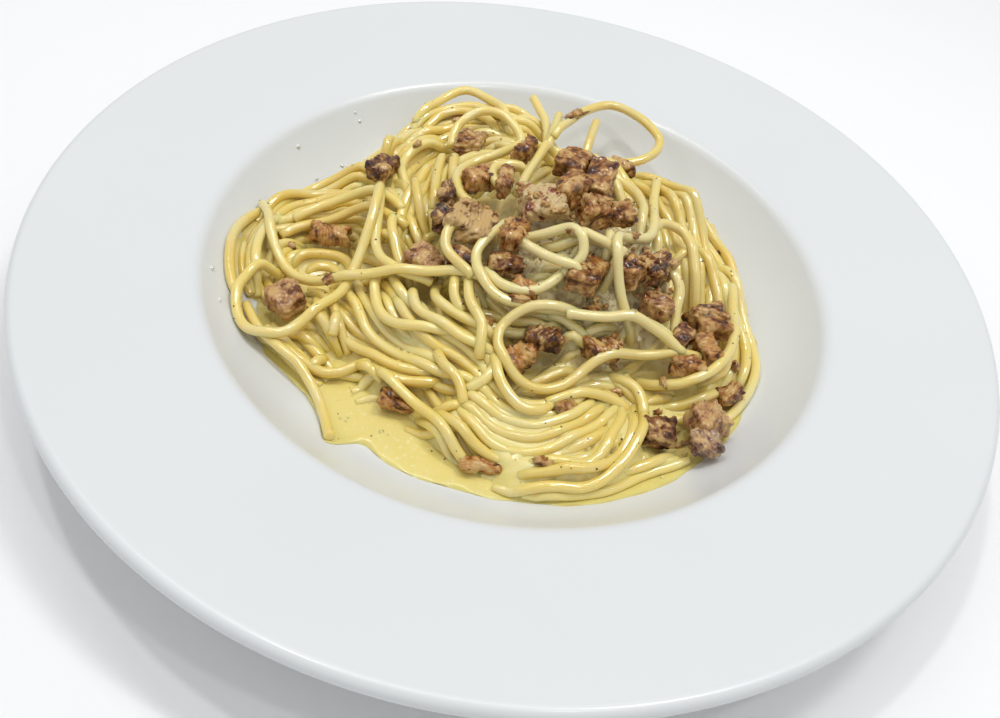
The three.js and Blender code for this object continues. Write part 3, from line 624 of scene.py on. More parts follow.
def raise_by_piece(relief, piece):
    """Raises the relief to the top of a piece's mesh."""
    points = np.array([corner[:] for corner in piece.bound_box]) / MM
    tree = BVHTree.FromPolygons(
        [vertex.co / MM for vertex in piece.data.vertices],
        [polygon.vertices[:] for polygon in piece.data.polygons],
    )
    low = np.floor((points.min(0)[:2] + HALF) / CELL).astype(int)
    high = np.ceil((points.max(0)[:2] + HALF) / CELL).astype(int)
    for row in range(low[1], high[1] + 1):
        for column in range(low[0], high[0] + 1):
            start = Vector((column * CELL - HALF, row * CELL - HALF, OVERHEAD))
            hit = tree.ray_cast(start, Vector((0, 0, -1)))[0]
            if hit:
                relief[row, column] = max(relief[row, column], hit.z)


def bacon_ground(bed, bacon):
    """The bed raised by the bacon, and the cells that lie well inside a piece's outline."""
    raised = bed.copy()
    for piece in bacon:
        raise_by_piece(raised, piece)
    covered = raised > bed + BACON_RISE
    inside = covered.copy()
    for axis in (0, 1):
        for shift in (-BACON_HOLD, BACON_HOLD):
            inside &= np.roll(covered, shift, axis)
    return raised, inside


def under_ball(places, radius):
    """The cells under a ball at each place: their numbers, the ball's height over its centre at
    each one, and which of them it covers."""
    reach = int(radius / CELL) + 1
    line = np.arange(-reach, reach + 1)
    offsets = np.stack(np.meshgrid(line, line), -1).reshape(-1, 2)
    cells = np.clip(cell_of(places)[:, None, :] + offsets[None], 0, WIDTH - 1)
    away = cells * CELL - HALF - places[:, None, :]
    left = radius**2 - (away**2).sum(2)
    return cells[..., 1] * WIDTH + cells[..., 0], np.sqrt(np.clip(left, 0, None)), left > 0


def rest_heights(relief, places, radius):
    """The height at which a ball's centre rests on the relief at each place."""
    cells, rise, covered = under_ball(places, radius)
    return np.where(covered, relief.ravel()[cells] + rise, -np.inf).max(1)


def stamp(relief, path, radius):
    """Raises the relief to a strand's top."""
    cells, rise, covered = under_ball(path[:, :2], radius)
    heights = path[:, 2:] + rise
    np.maximum.at(relief.reshape(-1), cells[covered], heights[covered])


def blurred_map(values, reach):
    """A map smoothed over the given reach in millimetres."""
    taps = int(3 * reach / CELL)
    weights = np.exp(-0.5 * (np.arange(-taps, taps + 1) * CELL / reach) ** 2)
    weights /= weights.sum()
    for axis in (0, 1):
        total = np.zeros_like(values)
        for tap, weight in zip(range(-taps, taps + 1), weights):
            total += weight * np.roll(values, tap, axis)
        values = total
    return values


def noise_map(size, seed):
    """Smooth random values of about -1 to 1, whose patches have the given size."""
    coarse = np.random.default_rng(SEED + seed).normal(0, 1, (WIDTH, WIDTH))
    smooth = blurred_map(coarse, size / 2)
    return smooth / smooth.std()


# ---- Strands ----


def smooth_route(points):
    """Points at even steps along a smooth curve through the given ones."""
    points = np.array(points, float)
    padded = np.vstack([2 * points[0] - points[1], points, 2 * points[-1] - points[-2]])
    fine = []
    for i in range(len(points) - 1):
        a, b, c, d = padded[i : i + 4]
        t = np.linspace(0, 1, ROUTE_SAMPLES, endpoint=False)[:, None]
        fine.append(
            0.5 * (2 * b + (c - a) * t + (2 * a - 5 * b + 4 * c - d) * t**2)
            + 0.5 * (3 * b - a - 3 * c + d) * t**3
        )
    fine = np.vstack(fine + [points[-1:]])
    along = np.concatenate([[0], np.cumsum(np.linalg.norm(np.diff(fine, axis=0), axis=1))])
    count = max(int(along[-1] / STRAND_STEP), 4)
    places = np.linspace(0, along[-1], count + 1)
    return np.stack([np.interp(places, along, column) for column in fine.T], 1)


def sideways(path):
    ahead = np.gradient(path[:, :2], axis=0)
    ahead /= np.linalg.norm(ahead, axis=1)[:, None] + 1e-9
    return np.stack([-ahead[:, 1], ahead[:, 0]], 1)


def from_ends(path):
    """How far each point of a strand is from the nearer end."""
    places = np.arange(len(path))
    return np.minimum(places, places[::-1]) * STRAND_STEP


def wander(count, amount, length):
    """A smooth random offset for each point, which changes over the given length."""
    knots = max(int(count * STRAND_STEP / length) + 2, 4)
    values = random.normal(0, amount, knots)
    places = np.linspace(0, knots - 1, count)
    eased = (1 - np.cos(np.pi * (places % 1))) / 2
    low = np.minimum(places.astype(int), knots - 2)
    eased[-1] = 1
    return values[low] * (1 - eased) + values[low + 1] * eased


def blurred(values, length):
    """A running mean over a length of strand."""
    width = max(int(length / STRAND_STEP) | 1, 3)
    padded = np.pad(values, width // 2, mode="edge")
    return np.convolve(padded, np.ones(width) / width, mode="valid")


def settle(path, pasta, reach):
    """Moves a strand sideways into the groove that it lies nearest to."""
    across = sideways(path)
    shifts = np.linspace(-reach, reach, GROOVE_TRIALS)
    costs = []
    for shift in shifts:
        heights = rest_heights(pasta, path + across * shift, STRAND_RADIUS)
        costs.append(blurred(heights, GROOVE_LENGTH) + GROOVE_COST * abs(shift))
    best = shifts[np.argmin(costs, 0)]
    return path + across * blurred(blurred(best, GROOVE_EASING), GROOVE_EASING)[:, None]


def stiffen(rest, bend_radius):
    """Lifts a strand where it would have to bend further than it can, then smooths it."""
    heights = rest.copy()
    for reach in STIFFENING:
        if len(heights) > 2 * reach:
            sag = (reach * STRAND_STEP) ** 2 / bend_radius / 2
            level = (heights[: -2 * reach] + heights[2 * reach :]) / 2 - sag
            heights[reach:-reach] = np.maximum(heights[reach:-reach], level)
    return np.maximum(blurred(blurred(heights, HEIGHT_EASING), HEIGHT_EASING), rest - SINK)


def lay(path, pasta, fixed, lift=None, bend_radius=BEND_RADIUS, end_dip=END_DIP):
    """Lays a strand on what is under it, sinks its ends, and adds it to the map of the pasta."""
    on_pasta = rest_heights(pasta, path, STRAND_RADIUS) - SINK
    on_fixed = rest_heights(fixed, path, STRAND_RADIUS + REST_GAP)
    lowest = rest_heights(PLATE_RELIEF, path, STRAND_RADIUS + REST_GAP)
    rest = np.maximum(on_pasta, on_fixed)
    if lift is not None:
        rest = np.maximum(rest, lift)
        lowest = np.maximum(lowest, lift)
    sunk = end_dip * np.clip(1 - from_ends(path) / END_REACH, 0, 1) ** 2
    heights = np.maximum(stiffen(rest, bend_radius) - sunk, lowest)
    heights = np.minimum(heights, LID_Z - STRAND_RADIUS)
    laid = np.column_stack([path, heights])
    stamp(pasta, laid, STRAND_RADIUS)
    return laid


def clear_of_bacon(path, blocked):
    """The stretches of a strand between the pieces of bacon, each one ending just inside them."""
    cells = cell_of(path)
    stopped = blocked[cells[:, 1], cells[:, 0]]
    cuts = np.flatnonzero(np.diff(stopped)) + 1
    runs = zip(np.split(path, cuts), np.split(stopped, cuts))
    return [run for run, stop in runs if len(run) * STRAND_STEP > SHORTEST_STRETCH and not stop[0]]


def lay_route(route, pasta, fixed, blocked):
    """Lays a strand along a route, in stretches between the pieces of bacon."""
    return [lay(stretch, pasta, fixed) for stretch in clear_of_bacon(route, blocked)]


def bundle(points, count):
    """The strands of a bundle round a route, each with its own wander and ends."""
    middle = smooth_route(points)
    across = sideways(middle)
    strands = []
    for k in range(count):
        offset = (k - (count - 1) / 2) * STRAND_PITCH
        shift = offset + wander(len(middle), *STRAND_WANDER)
        strand = middle + across * shift[:, None]
        first, last = random.integers(0, RAGGED_STEPS, 2)
        strands.append(strand[first : len(strand) - last])
    return strands


def contour_strand(start, length, turn, tilt):
    """A route that winds round the heap along its slopes, as the strands of a twirled nest do."""
    place = np.array(start, float)
    limit = STRAND_STEP / WINDING_RADIUS
    inset, least = HEAP_EDGE
    heading, path = None, []
    for _ in range(int(length / STRAND_STEP)):
        slope = [
            heap_height(*(place + step), 0) - heap_height(*(place - step), 0)
            for step in np.eye(2) * SLOPE_REACH
        ]
        wanted = math.atan2(slope[0] * turn, -slope[1] * turn) + tilt
        if heading is None:
            heading = wanted
        change = (wanted - heading + math.pi) % (2 * math.pi) - math.pi
        if math.hypot(*slope) < FLAT_FALL:
            change = turn * FLAT_TURN
        heading += max(-limit, min(limit, change))
        place = place + STRAND_STEP * np.array([math.cos(heading), math.sin(heading)])
        if heap_height(*place, inset) < least:
            break
        path.append(place)
    return np.array(path).reshape(-1, 2)


def winding_route(start, clockwise, lengths, spread):
    """A route that winds from the start, with a random turn, length and tilt."""
    turn = 1 if random.random() < clockwise else -1
    length = random.uniform(*lengths)
    return contour_strand(start, length, turn, random.normal(0, spread))


def lay_fillers(pasta, fixed, blocked):
    laid = []
    inset, least = FILLER_START
    while len(laid) < FILLERS:
        start = random.uniform(-FILLER_FIELD, FILLER_FIELD, 2)
        if heap_height(*start, inset) < least:
            continue
        route = winding_route(start, FILLER_CLOCKWISE, FILLER_LENGTH, FILLER_TILT)
        if len(route) * STRAND_STEP < FILLER_SHORTEST:
            continue
        laid += lay_route(settle(route, pasta, GROOVE_REACH), pasta, fixed, blocked)
    return laid


def lay_bundles(pasta, fixed, blocked):
    laid = []
    for _, count, points in BUNDLES:
        for strand in bundle(points, count):
            laid += lay_route(settle(strand, pasta, BUNDLE_GROOVE_REACH), pasta, fixed, blocked)
    return laid


def lay_hollows(pasta, fixed, blocked):
    laid = []
    for _ in range(HOLLOWS):
        starts = random.uniform(-HOLLOW_FIELD, HOLLOW_FIELD, (HOLLOW_TRIES, 2))
        cells = cell_of(starts)
        heap = heap_height(starts[:, 0], starts[:, 1], 0)
        bare = heap + FLOOR_Z - pasta[cells[:, 1], cells[:, 0]]
        bare = np.where(heap > HOLLOW_HEAP, bare, 0)
        if bare.max() < HOLLOW_DEPTH:
            continue
        start = starts[np.argmax(bare)]
        route = winding_route(start, HOLLOW_CLOCKWISE, HOLLOW_LENGTH, HOLLOW_TILT)
        laid += lay_route(route, pasta, fixed, blocked)
    return laid


def lay_singles(pasta, grounds, blocked):
    """Lays the single strands, each kind on its own ground."""
    laid = []
    for _, kind, points in SINGLES:
        route = smooth_route(points)
        lift = None
        stretches = [route[:, :2]]
        if route.shape[1] == 3:
            lift = CREASE_Z + route[:, 2]
        elif kind == "under":
            stretches = clear_of_bacon(route, blocked)
        laid += [
            lay(stretch, pasta, grounds[kind], lift, FREE_BEND_RADIUS, FREE_END_DIP)
            for stretch in stretches
        ]
    return laid


def tube(path, sides, tapered):
    """Vertices and faces of a round strand with rounded ends, which narrows towards them where
    it is tapered."""
    ahead = np.gradient(path, axis=0)
    ahead /= np.linalg.norm(ahead, axis=1)[:, None]
    across = np.cross(ahead, (0, 0, 1.0))
    across /= np.linalg.norm(across, axis=1)[:, None]
    up = np.cross(across, ahead)
    radii = STRAND_RADIUS * (1 + wander(len(path), *UNEVEN))
    if tapered:
        radii *= np.clip(TAPER_END + (1 - TAPER_END) * from_ends(path) / TAPER, 0, 1)
    angles = directions(sides)[None, :, None]
    spokes = across[:, None] * np.cos(angles) + up[:, None] * np.sin(angles)
    caps = [
        path[end] + spokes[end] * radii[end] * share + ahead[end] * sign * out
        for end, sign in ((0, -1), (-1, 1))
        for share, out in CAP_RINGS
    ]
    rings = path[:, None] + spokes * radii[:, None, None]
    rings = np.concatenate([[caps[1], caps[0]], rings, [caps[2], caps[3]]])
    faces = ring_faces(len(rings), sides)
    last = (len(rings) - 1) * sides
    faces.append(tuple(range(sides)))
    faces.append(tuple(last + i for i in range(sides))[::-1])
    return rings.reshape(-1, 3), faces


def make_strands(name, paths, sides, material, tapered=True, paleness=1.0):
    vertices, faces, tones, count = [], [], [], 0
    for path in paths:
        more, more_faces = tube(path, sides, tapered)
        vertices.append(more)
        faces += [tuple(count + i for i in face) for face in more_faces]
        # A paleness under 1 keeps the tones darker; under the bundles this is painted shade
        tones.append(np.full(len(more), random.random() * paleness))
        count += len(more)
    mesh = new_mesh(name, np.vstack(vertices), faces)
    piece = new_piece(name, mesh, material, ["spaghetti"])
    add_tone(piece, np.concatenate(tones))


# ---- Bacon ----


def remeshed(source):
    """A fine even mesh round a CAD node's solid, with its edges worn round."""
    helper = new_object("helper", source.data.copy())
    remesh = helper.modifiers.new("remesh", "REMESH")
    remesh.mode = "VOXEL"
    remesh.voxel_size = BACON_VOXEL * MM
    smooth = helper.modifiers.new("smooth", "SMOOTH")
    smooth.iterations = BACON_WEAR
    smooth.factor = 0.5
    graph = bpy.context.evaluated_depsgraph_get()
    mesh = bpy.data.meshes.new_from_object(helper.evaluated_get(graph))
    bpy.data.objects.remove(helper)
    return mesh


def crag(place, seed, strata):
    """How far a point of a piece of bacon stands out: lumps, layers, wrinkles and grain."""
    shifted = place + Vector((seed * 7.3, seed * 3.1, seed * 5.7))
    lumps, wrinkles, grain = (
        noise.noise(shifted / size) for size, _ in (BACON_LUMPS, BACON_WRINKLES, BACON_GRAIN)
    )
    bend = BACON_LAYER_BEND[1] * noise.noise(shifted / BACON_LAYER_BEND[0])
    layers = math.sin(place.dot(strata) * BACON_LAYERS[0] + bend)
    rise = BACON_SWELL + BACON_LUMPS[1] * lumps + BACON_LAYERS[1] * layers
    return rise - BACON_WRINKLES[1] * abs(wrinkles) + BACON_GRAIN[1] * grain


def roughen(mesh, seed):
    """Gives a remeshed block the crags of fried meat, and returns each vertex's layer."""
    strata = Vector(np.random.default_rng(SEED + seed).normal(0, 1, 3)).normalized()
    layer = []
    moves = []
    for vertex in mesh.vertices:
        place = vertex.co / MM
        moves.append(vertex.normal * crag(place, seed, strata) * MM)
        layer.append(place.dot(strata))
    for vertex, move in zip(mesh.vertices, moves):
        vertex.co += move
    return layer


def fit_to_box(mesh, low, high):
    """Shrinks a mesh that stands out of a box until it fits."""
    places = np.array([vertex.co[:] for vertex in mesh.vertices])
    least, most = places.min(0), places.max(0)
    shares = np.minimum(1, (np.array(high) - np.array(low)) / (most - least))
    centre = (np.array(low) + np.array(high)) / 2
    places = centre + (places - (least + most) / 2) * shares
    mesh.vertices.foreach_set("co", places.astype(np.float32).ravel())


def make_bacon(materials):
    pieces = []
    for index, look in enumerate(BACON_LOOKS):
        name = f"bacon_{index + 1:02d}"
        mesh = remeshed(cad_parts[name])
        layer = roughen(mesh, index)
        fit_to_box(mesh, *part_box(name))
        piece = new_piece(name + "_fried", mesh, materials[look], [name])
        add_tone(piece, np.array(layer) + index * BACON_TONE_STEP)
        pieces.append(piece)
    return pieces


# ---- Small things ----


def lump(centre, size, turn, seed, rings, turns):
    """A small irregular lump: centre, its three lengths and its turn about Z in degrees."""
    vertices = []
    spin = Matrix.Rotation(math.radians(turn), 3, "Z")
    shifted = Vector((seed * 3.7, seed, 0))
    for ring in range(rings + 1):
        polar = math.pi * ring / rings
        for step in range(turns):
            around = 2 * math.pi * step / turns
            way = Vector(
                (math.sin(polar) * math.cos(around), math.sin(polar) * math.sin(around), math.cos(polar))
            )
            out = 1 + 0.6 * noise.noise(way * 1.6 + shifted) + 0.8 * noise.noise(way * 3.6 + shifted)
            local = Vector(way[k] * size[k] / 2 * out for k in range(3))
            vertices.append(spin @ local + Vector(centre))
    return vertices, ring_faces(rings + 1, turns)


def make_lumps(name, lumps, material, rings, turns):
    vertices, faces = [], []
    for seed, (centre, size, turn) in enumerate(lumps):
        more, more_faces = lump(centre, size, turn, seed, rings, turns)
        faces += [tuple(i + len(vertices) for i in face) for face in more_faces]
        vertices += more
    mesh = new_mesh(name, [tuple(vertex) for vertex in vertices], faces)
    close_poles(mesh)
    new_piece(name, mesh, material)


def close_poles(mesh):
    """Merges the vertices that lie together at the ends of each lump."""
    work = bmesh.new()
    work.from_mesh(mesh)
    bmesh.ops.remove_doubles(work, verts=work.verts, dist=1e-6)
    bmesh.ops.recalc_face_normals(work, faces=work.faces)
    work.to_mesh(mesh)
    work.free()


def make_crumbs(surface, pasta, material):
    lumps = [
        ((x, y, min(height_at(surface, x, y) + 0.1, TOP_Z)), (length, width, CRUMB_HEIGHT), turn)
        for x, y, length, width, turn in CRUMBS
    ]
    centre_x, centre_y, spread, count = BITS
    for _ in range(count):
        x, y = centre_x + random.normal(0, spread), centre_y + random.normal(0, spread)
        size = random.uniform(*BIT_SIZE)
        shape = (size, size * random.uniform(0.5, 1), size * random.uniform(0.4, 0.7))
        z = height_at(surface, x, y)
        if height_at(pasta, x, y) < z < TOP_Z:
            lumps.append(((x, y, z), shape, random.uniform(0, 180)))
    make_lumps("bacon_crumbs", lumps, material, rings=9, turns=12)


def in_pool(x, y):
    return math.hypot(x, y) < pool_radius(math.atan2(y, x)) - FLECK_INSET


def make_pepper(surface, bed, material):
    lumps = []
    while len(lumps) < PEPPER_COUNT:
        x, y = random.uniform(-PEPPER_FIELD, PEPPER_FIELD, 2)
        on_heap = height_at(surface, x, y) > height_at(bed, x, y) + 1
        if not on_heap and not (in_pool(x, y) and random.random() < PEPPER_IN_POOL):
            continue
        size = random.uniform(*PEPPER_SIZE)
        shape = (size, size * random.uniform(0.5, 1), size * 0.5)
        lumps.append(((x, y, height_at(surface, x, y) + 0.05), shape, random.uniform(0, 180)))
    make_lumps("pepper", lumps, material, rings=4, turns=6)


def make_flecks(surface, material):
    lumps = []
    for patch_x, patch_y, spread, count in FLECK_PATCHES:
        for _ in range(count):
            x = patch_x + random.normal(0, spread / 2)
            y = patch_y + random.normal(0, spread / 3)
            if in_pool(x, y):
                size = random.uniform(*FLECK_SIZE)
                lumps.append(((x, y, height_at(surface, x, y)), (size, size, size * 0.3), 0))
    make_lumps("sauce_flecks", lumps, material, rings=6, turns=10)


# Real lumps with real gloss; their pale colour is a painted highlight
def make_glint_drops(material):
    lumps = []
    for x, y in GLINT_DROPS:
        size = random.uniform(*GLINT_DROP_SIZE)
        lumps.append(((x, y, float(well_height(math.hypot(x, y)))), (size, size, size * 0.7), 0))
    make_lumps("wall_glint_drops", lumps, material, rings=8, turns=12)


# ---- Pool and cream ----


def make_pool(material):
    """A closed shell: over the pool's surface and back along the plate under it."""
    angles = directions(POOL_TURNS)
    edge = pool_radius(angles) - POOL_INSET
    shares = 1 - (1 - np.linspace(POOL_MIDDLE, 1, POOL_RINGS)) ** POOL_CROWDING
    x = shares[:, None] * (edge * np.cos(angles))[None]
    y = shares[:, None] * (edge * np.sin(angles))[None]
    top = np.stack([x, y, pool_height(x, y)], -1)
    low = np.stack([x, y, well_height(np.hypot(x, y)) + SEAT], -1)
    rings = np.concatenate([top, low[::-1]])
    mesh = new_mesh("sauce_pool", *shell(rings, (0, 0, POOL_Z), (0, 0, FLOOR_Z + SEAT)))
    new_piece("sauce_pool", mesh, material, ["sauce"])


def mash_share():
    """How much of the cream is mash, from 1 in the middle of the heap to 0."""
    x, y, half_x, half_y = MASH
    away = np.hypot((MAP_X - x) / half_x, (MAP_Y - y) / half_y)
    return np.clip(MASH_SHARPNESS * (1 - away), 0, 1)


def mash_height():
    lumps = sum(height * noise_map(size, seed) for size, seed, height in MASH_LUMPS)
    mash = FLOOR_Z + heap_height(MAP_X, MAP_Y, 0) - MASH_DEPTH + lumps
    return mash - MASH_FALL * (1 - mash_share())


def cream_height(pasta, bed):
    """The surface of the cream that lies between the strands. It ends under the outermost ones."""
    smooth = blurred_map(np.maximum(pasta, bed), CREAM_EASING)
    shifts = (-CREAM_CLIMB_CELLS, CREAM_CLIMB_CELLS)
    near = [np.roll(smooth, shift, axis) for axis in (0, 1) for shift in shifts]
    foot = np.minimum.reduce(near) + CREAM_CLIMB
    smooth = np.minimum(smooth, np.maximum(foot, smooth - CREAM_CLIMB_MOST))
    depth = CREAM_DEPTH + CREAM_UNEVEN * noise_map(CREAM_PATCH, 1)
    cream = smooth - np.maximum(depth, CREAM_LEAST_DEPTH)
    for x, y, half_x, half_y, height in CREAM_SPOTS:
        away = ((MAP_X - x) / half_x) ** 2 + ((MAP_Y - y) / half_y) ** 2
        cream += height * np.exp(-(away**1.5))
    cream = np.maximum(cream, mash_height())
    cream = np.maximum(cream, np.minimum(core_height(MAP_X, MAP_Y), cream + CREAM_OVER_CORE))
    inside = blurred_map((pasta > bed + CREAM_BASE).astype(float), CREAM_EASING)
    start, whole = CREAM_RIM
    share = np.clip((inside - start) / (whole - start), 0, 1)
    return bed + (cream - bed + CREAM_TUCK) * share - CREAM_TUCK


def cream_cells(above):
    """The quads of the cream's mesh: those over the bed and one round them, with no two that
    meet at a corner alone."""
    kept = above
    for axis, shift in ((0, -1), (1, -1), (0, 1), (1, 1)):
        kept = kept | np.roll(kept, shift, axis)
    beside = np.roll(kept, -1, 1)
    for first, second in ((kept, beside), (beside, kept)):
        corner = first & np.roll(second, -1, 0) & ~second & ~np.roll(first, -1, 0)
        kept = kept | corner | np.roll(corner, 1, 1)
    return kept


def make_cream(surface, bed, material):
    """A closed solid from the cream's surface down into what carries it, so that its outline is
    where the two surfaces meet."""
    every = slice(None, None, CREAM_STEP)
    x, y = MAP_X[every, every], MAP_Y[every, every]
    low = bed[every, every] - CREAM_ROOT
    top = np.maximum(surface[every, every], low + CREAM_ROOT / 2)
    kept = cream_cells(surface[every, every] > bed[every, every])
    rows, columns = kept.shape
    count = rows * columns
    faces = []
    for row, column in zip(*np.nonzero(kept)):
        a = row * columns + column
        quad = (a, a + 1, a + columns + 1, a + columns)
        faces.append(quad)
        faces.append(tuple(i + count for i in quad[::-1]))
        for side, (rows_on, columns_on) in enumerate(((-1, 0), (0, 1), (1, 0), (0, -1))):
            if not kept[row + rows_on, column + columns_on]:
                start, end = quad[side], quad[(side + 1) % 4]
                faces.append((end, start, start + count, end + count))
    used = np.unique(np.concatenate([np.array(face) for face in faces]))
    number = np.full(2 * count, -1)
    number[used] = np.arange(len(used))
    both = np.vstack([np.stack([x, y, z], -1).reshape(-1, 3) for z in (top, low)])
    faces = [tuple(int(number[i]) for i in face) for face in faces]
    mesh = new_mesh("cream_between_strands", both[used], faces)
    piece = new_piece("cream_between_strands", mesh, material, ["spaghetti"])
    add_tone(piece, np.tile(mash_share()[every, every].ravel(), 2)[used])


# ---- Materials ----

SOCKETS = {
    "color": "Base Color",
    "roughness": "Roughness",
    "specular": "Specular IOR Level",
    "soft": "Subsurface Weight",
    "soft_radius": "Subsurface Radius",
    "soft_scale": "Subsurface Scale",
    "coat": "Coat Weight",
    "coat_roughness": "Coat Roughness",
    "coat_ior": "Coat IOR",
}


class Shader:
    """A material's node tree, with short calls to add and join nodes."""

    def __init__(self, name):
        self.material = bpy.data.materials.new(name)
        self.material.use_nodes = True
        self.nodes = self.material.node_tree.nodes
        self.links = self.material.node_tree.links
        self.surface = self.nodes["Principled BSDF"]
        self.place = self.nodes.new("ShaderNodeTexCoord").outputs["Object"]

    def add(self, kind, inputs=None, **settings):
        made = self.nodes.new("ShaderNode" + kind)
        for key, value in settings.items():
            setattr(made, key, value)
        for key, value in (inputs or {}).items():
            self.give(made.inputs[key], value)
        return made

    def give(self, socket, value):
        if isinstance(value, bpy.types.NodeSocket):
            self.links.new(value, socket)
        else:
            socket.default_value = value

    def set(self, **values):
        """Gives the surface its values, by their names in SOCKETS."""
        for key, value in values.items():
            self.give(self.surface.inputs[SOCKETS[key]], value)

    def noise(self, per_mm, detail=3.0, roughness=0.5):
        inputs = {"Vector": self.place, "Scale": per_mm / MM, "Detail": detail, "Roughness": roughness}
        return self.add("TexNoise", inputs).outputs["Fac"]

    def ramp(self, value, stops):
        made = self.add("ValToRGB", {"Fac": value})
        points = made.color_ramp.elements
        while len(points) < len(stops):
            points.new(0.5)
        for point, (position, color) in zip(points, stops):
            point.position = position
            point.color = (*color, 1)
        return made.outputs["Color"]

    def band(self, value, low, high, to_low=0.0, to_high=1.0):
        inputs = {"Value": value, "From Min": low, "From Max": high, "To Min": to_low, "To Max": to_high}
        return self.add("MapRange", inputs).outputs["Result"]

    def mix(self, share, first, second):
        made = self.add("Mix", data_type="RGBA")
        self.give(made.inputs[0], share)
        for socket, color in ((made.inputs[6], first), (made.inputs[7], second)):
            self.give(socket, color if isinstance(color, bpy.types.NodeSocket) else (*color, 1))
        return made.outputs[2]

    def math(self, operation, first, second):
        made = self.add("Math", operation=operation)
        self.give(made.inputs[0], first)
        self.give(made.inputs[1], second)
        return made.outputs[0]

    def times(self, first, second):
        return self.math("MULTIPLY", first, second)

    def bump(self, height, distance, strength=1.0, socket="Normal"):
        made = self.add("Bump", {"Height": height, "Distance": distance * MM, "Strength": strength})
        self.give(self.surface.inputs[socket], made.outputs["Normal"])

    def tone(self):
        return self.add("Attribute", attribute_name="tone").outputs["Fac"]


def china_look():
    """White glaze, with the faint waves of a fired surface."""
    look = Shader("china")
    color = look.mix(look.noise(0.02, 2), (0.70, 0.725, 0.73), (0.73, 0.75, 0.752))
    look.set(color=color, roughness=0.3, specular=0.4, coat=0.15, coat_roughness=0.12)
    look.bump(look.noise(0.08, 2), 0.05, 0.4)
    return look.material


def pasta_look():
    """Cooked spaghetti with a coat of cream: each strand has a tone, and the coat is uneven."""
    look = Shader("pasta")
    strand = look.ramp(
        look.tone(), [(0.0, (0.76, 0.56, 0.12)), (0.5, (0.81, 0.63, 0.165)), (1.0, (0.85, 0.69, 0.23))]
    )
    coat = look.times(look.band(look.noise(0.07, 3), 0.45, 0.68), 0.6)
    apart = look.add("VectorMath", {0: look.place, 1: CREAMIEST}, operation="DISTANCE")
    coat = look.math("MAXIMUM", coat, look.band(apart.outputs["Value"], 0.022, 0.046, 0.75, 0.0))
    color = look.mix(coat, strand, (0.76, 0.67, 0.325))
    flecks = look.band(look.noise(1.6, 2), 0.67, 0.78)
    color = look.mix(look.times(flecks, 0.3), color, (0.42, 0.24, 0.06))
    look.set(
        color=color,
        roughness=look.band(look.noise(0.35, 2), 0.3, 0.7, 0.45, 0.65),
        specular=0.2,
        soft=0.5,
        soft_radius=(1.0, 0.6, 0.14),
        soft_scale=2.2 * MM,
        coat=1.0,
        coat_roughness=0.05,
        coat_ior=1.9,
    )
    look.bump(look.noise(0.8, 3, 0.6), 0.05, 0.5)
    look.bump(look.noise(1.5, 3, 0.6), 0.045, 1.0, "Coat Normal")
    return look.material


def cream_look(name, light, deep, speck):
    """Cream sauce: smooth and glossy, with paler streaks and fine flecks of egg and pepper, and
    more even low down, where it is a pool."""
    look = Shader(name)
    streaks = look.band(look.noise(0.06, 4, 0.55), 0.35, 0.68)
    color = look.mix(streaks, deep, light)
    height = look.add("SeparateXYZ", {"Vector": look.place}).outputs["Z"]
    color = look.mix(look.band(height, 0.011, 0.018), POOL_COLOR, color)
    egg = look.band(look.noise(0.9, 3), 0.6, 0.72)
    color = look.mix(look.times(egg, 0.4), color, speck)
    pepper = look.band(look.noise(2.2, 2), 0.7, 0.78)
    color = look.mix(look.times(pepper, 0.45), color, (0.20, 0.11, 0.04))
    mash = look.tone()
    color = look.mix(look.times(mash, 0.6), color, (0.86, 0.78, 0.52))
    crumbs = look.times(look.band(look.noise(0.45, 5, 0.65), 0.5, 0.62), mash)
    crust = look.mix(look.noise(0.9, 3), (0.20, 0.08, 0.02), (0.52, 0.32, 0.12))
    color = look.mix(look.times(crumbs, 0.7), color, crust)
    look.set(
        color=color,
        roughness=0.3,
        soft=0.3,
        soft_radius=(1.0, 0.6, 0.2),
        soft_scale=2.0 * MM,
        coat=0.4,
        coat_roughness=0.16,
    )
    relief = look.times(look.noise(0.4, 4, 0.5), 0.2)
    look.bump(look.math("ADD", relief, crumbs), 0.3, 0.8)
    return look.material


def bacon_look(name, burnt, dark, meat, fat_share):
    """Fried bacon: mottled along its layers from burnt edges to pale fat, with a greasy gloss."""
    look = Shader("bacon_" + name)
    layer = look.math("ADD", look.tone(), look.times(look.noise(0.2, 2), 4.0))
    stripe = look.math("SINE", look.times(layer, 1.1), 0.0)
    fibres = look.math("SINE", look.times(layer, 6.5), 0.0)
    mottle = look.math("ADD", look.noise(0.34, 5, 0.6), look.times(stripe, 0.07))
    mottle = look.math("ADD", mottle, look.times(fibres, 0.035))
    place = look.band(mottle, 0.38 - 0.2 * fat_share, 0.69 - 0.2 * fat_share)
    color = look.ramp(place, [(0.1, burnt), (0.28, dark), (0.6, meat), (0.95, FAT_COLOR)])
    cream = look.band(look.noise(0.13, 4, 0.6), 0.56, 0.72)
    color = look.mix(look.times(cream, 0.4), color, (0.66, 0.52, 0.26))
    look.set(
        color=color,
        roughness=look.band(look.noise(0.9, 2), 0.3, 0.7, 0.25, 0.5),
        specular=0.12,
        soft=0.15,
        soft_radius=(1.0, 0.4, 0.15),
        soft_scale=0.8 * MM,
        coat=0.7,
        coat_roughness=0.055,
    )
    look.bump(look.noise(1.1, 4, 0.6), 0.25, 1.0)
    look.bump(look.noise(0.7, 3, 0.6), 0.14, 1.0, "Coat Normal")
    return look.material


def pepper_look():
    look = Shader("pepper")
    color = look.mix(look.band(look.noise(1.1, 2), 0.4, 0.6), (0.035, 0.022, 0.014), (0.22, 0.11, 0.05))
    look.set(color=color, roughness=0.6)
    look.bump(look.noise(4.0, 2), 0.05, 0.5)
    return look.material


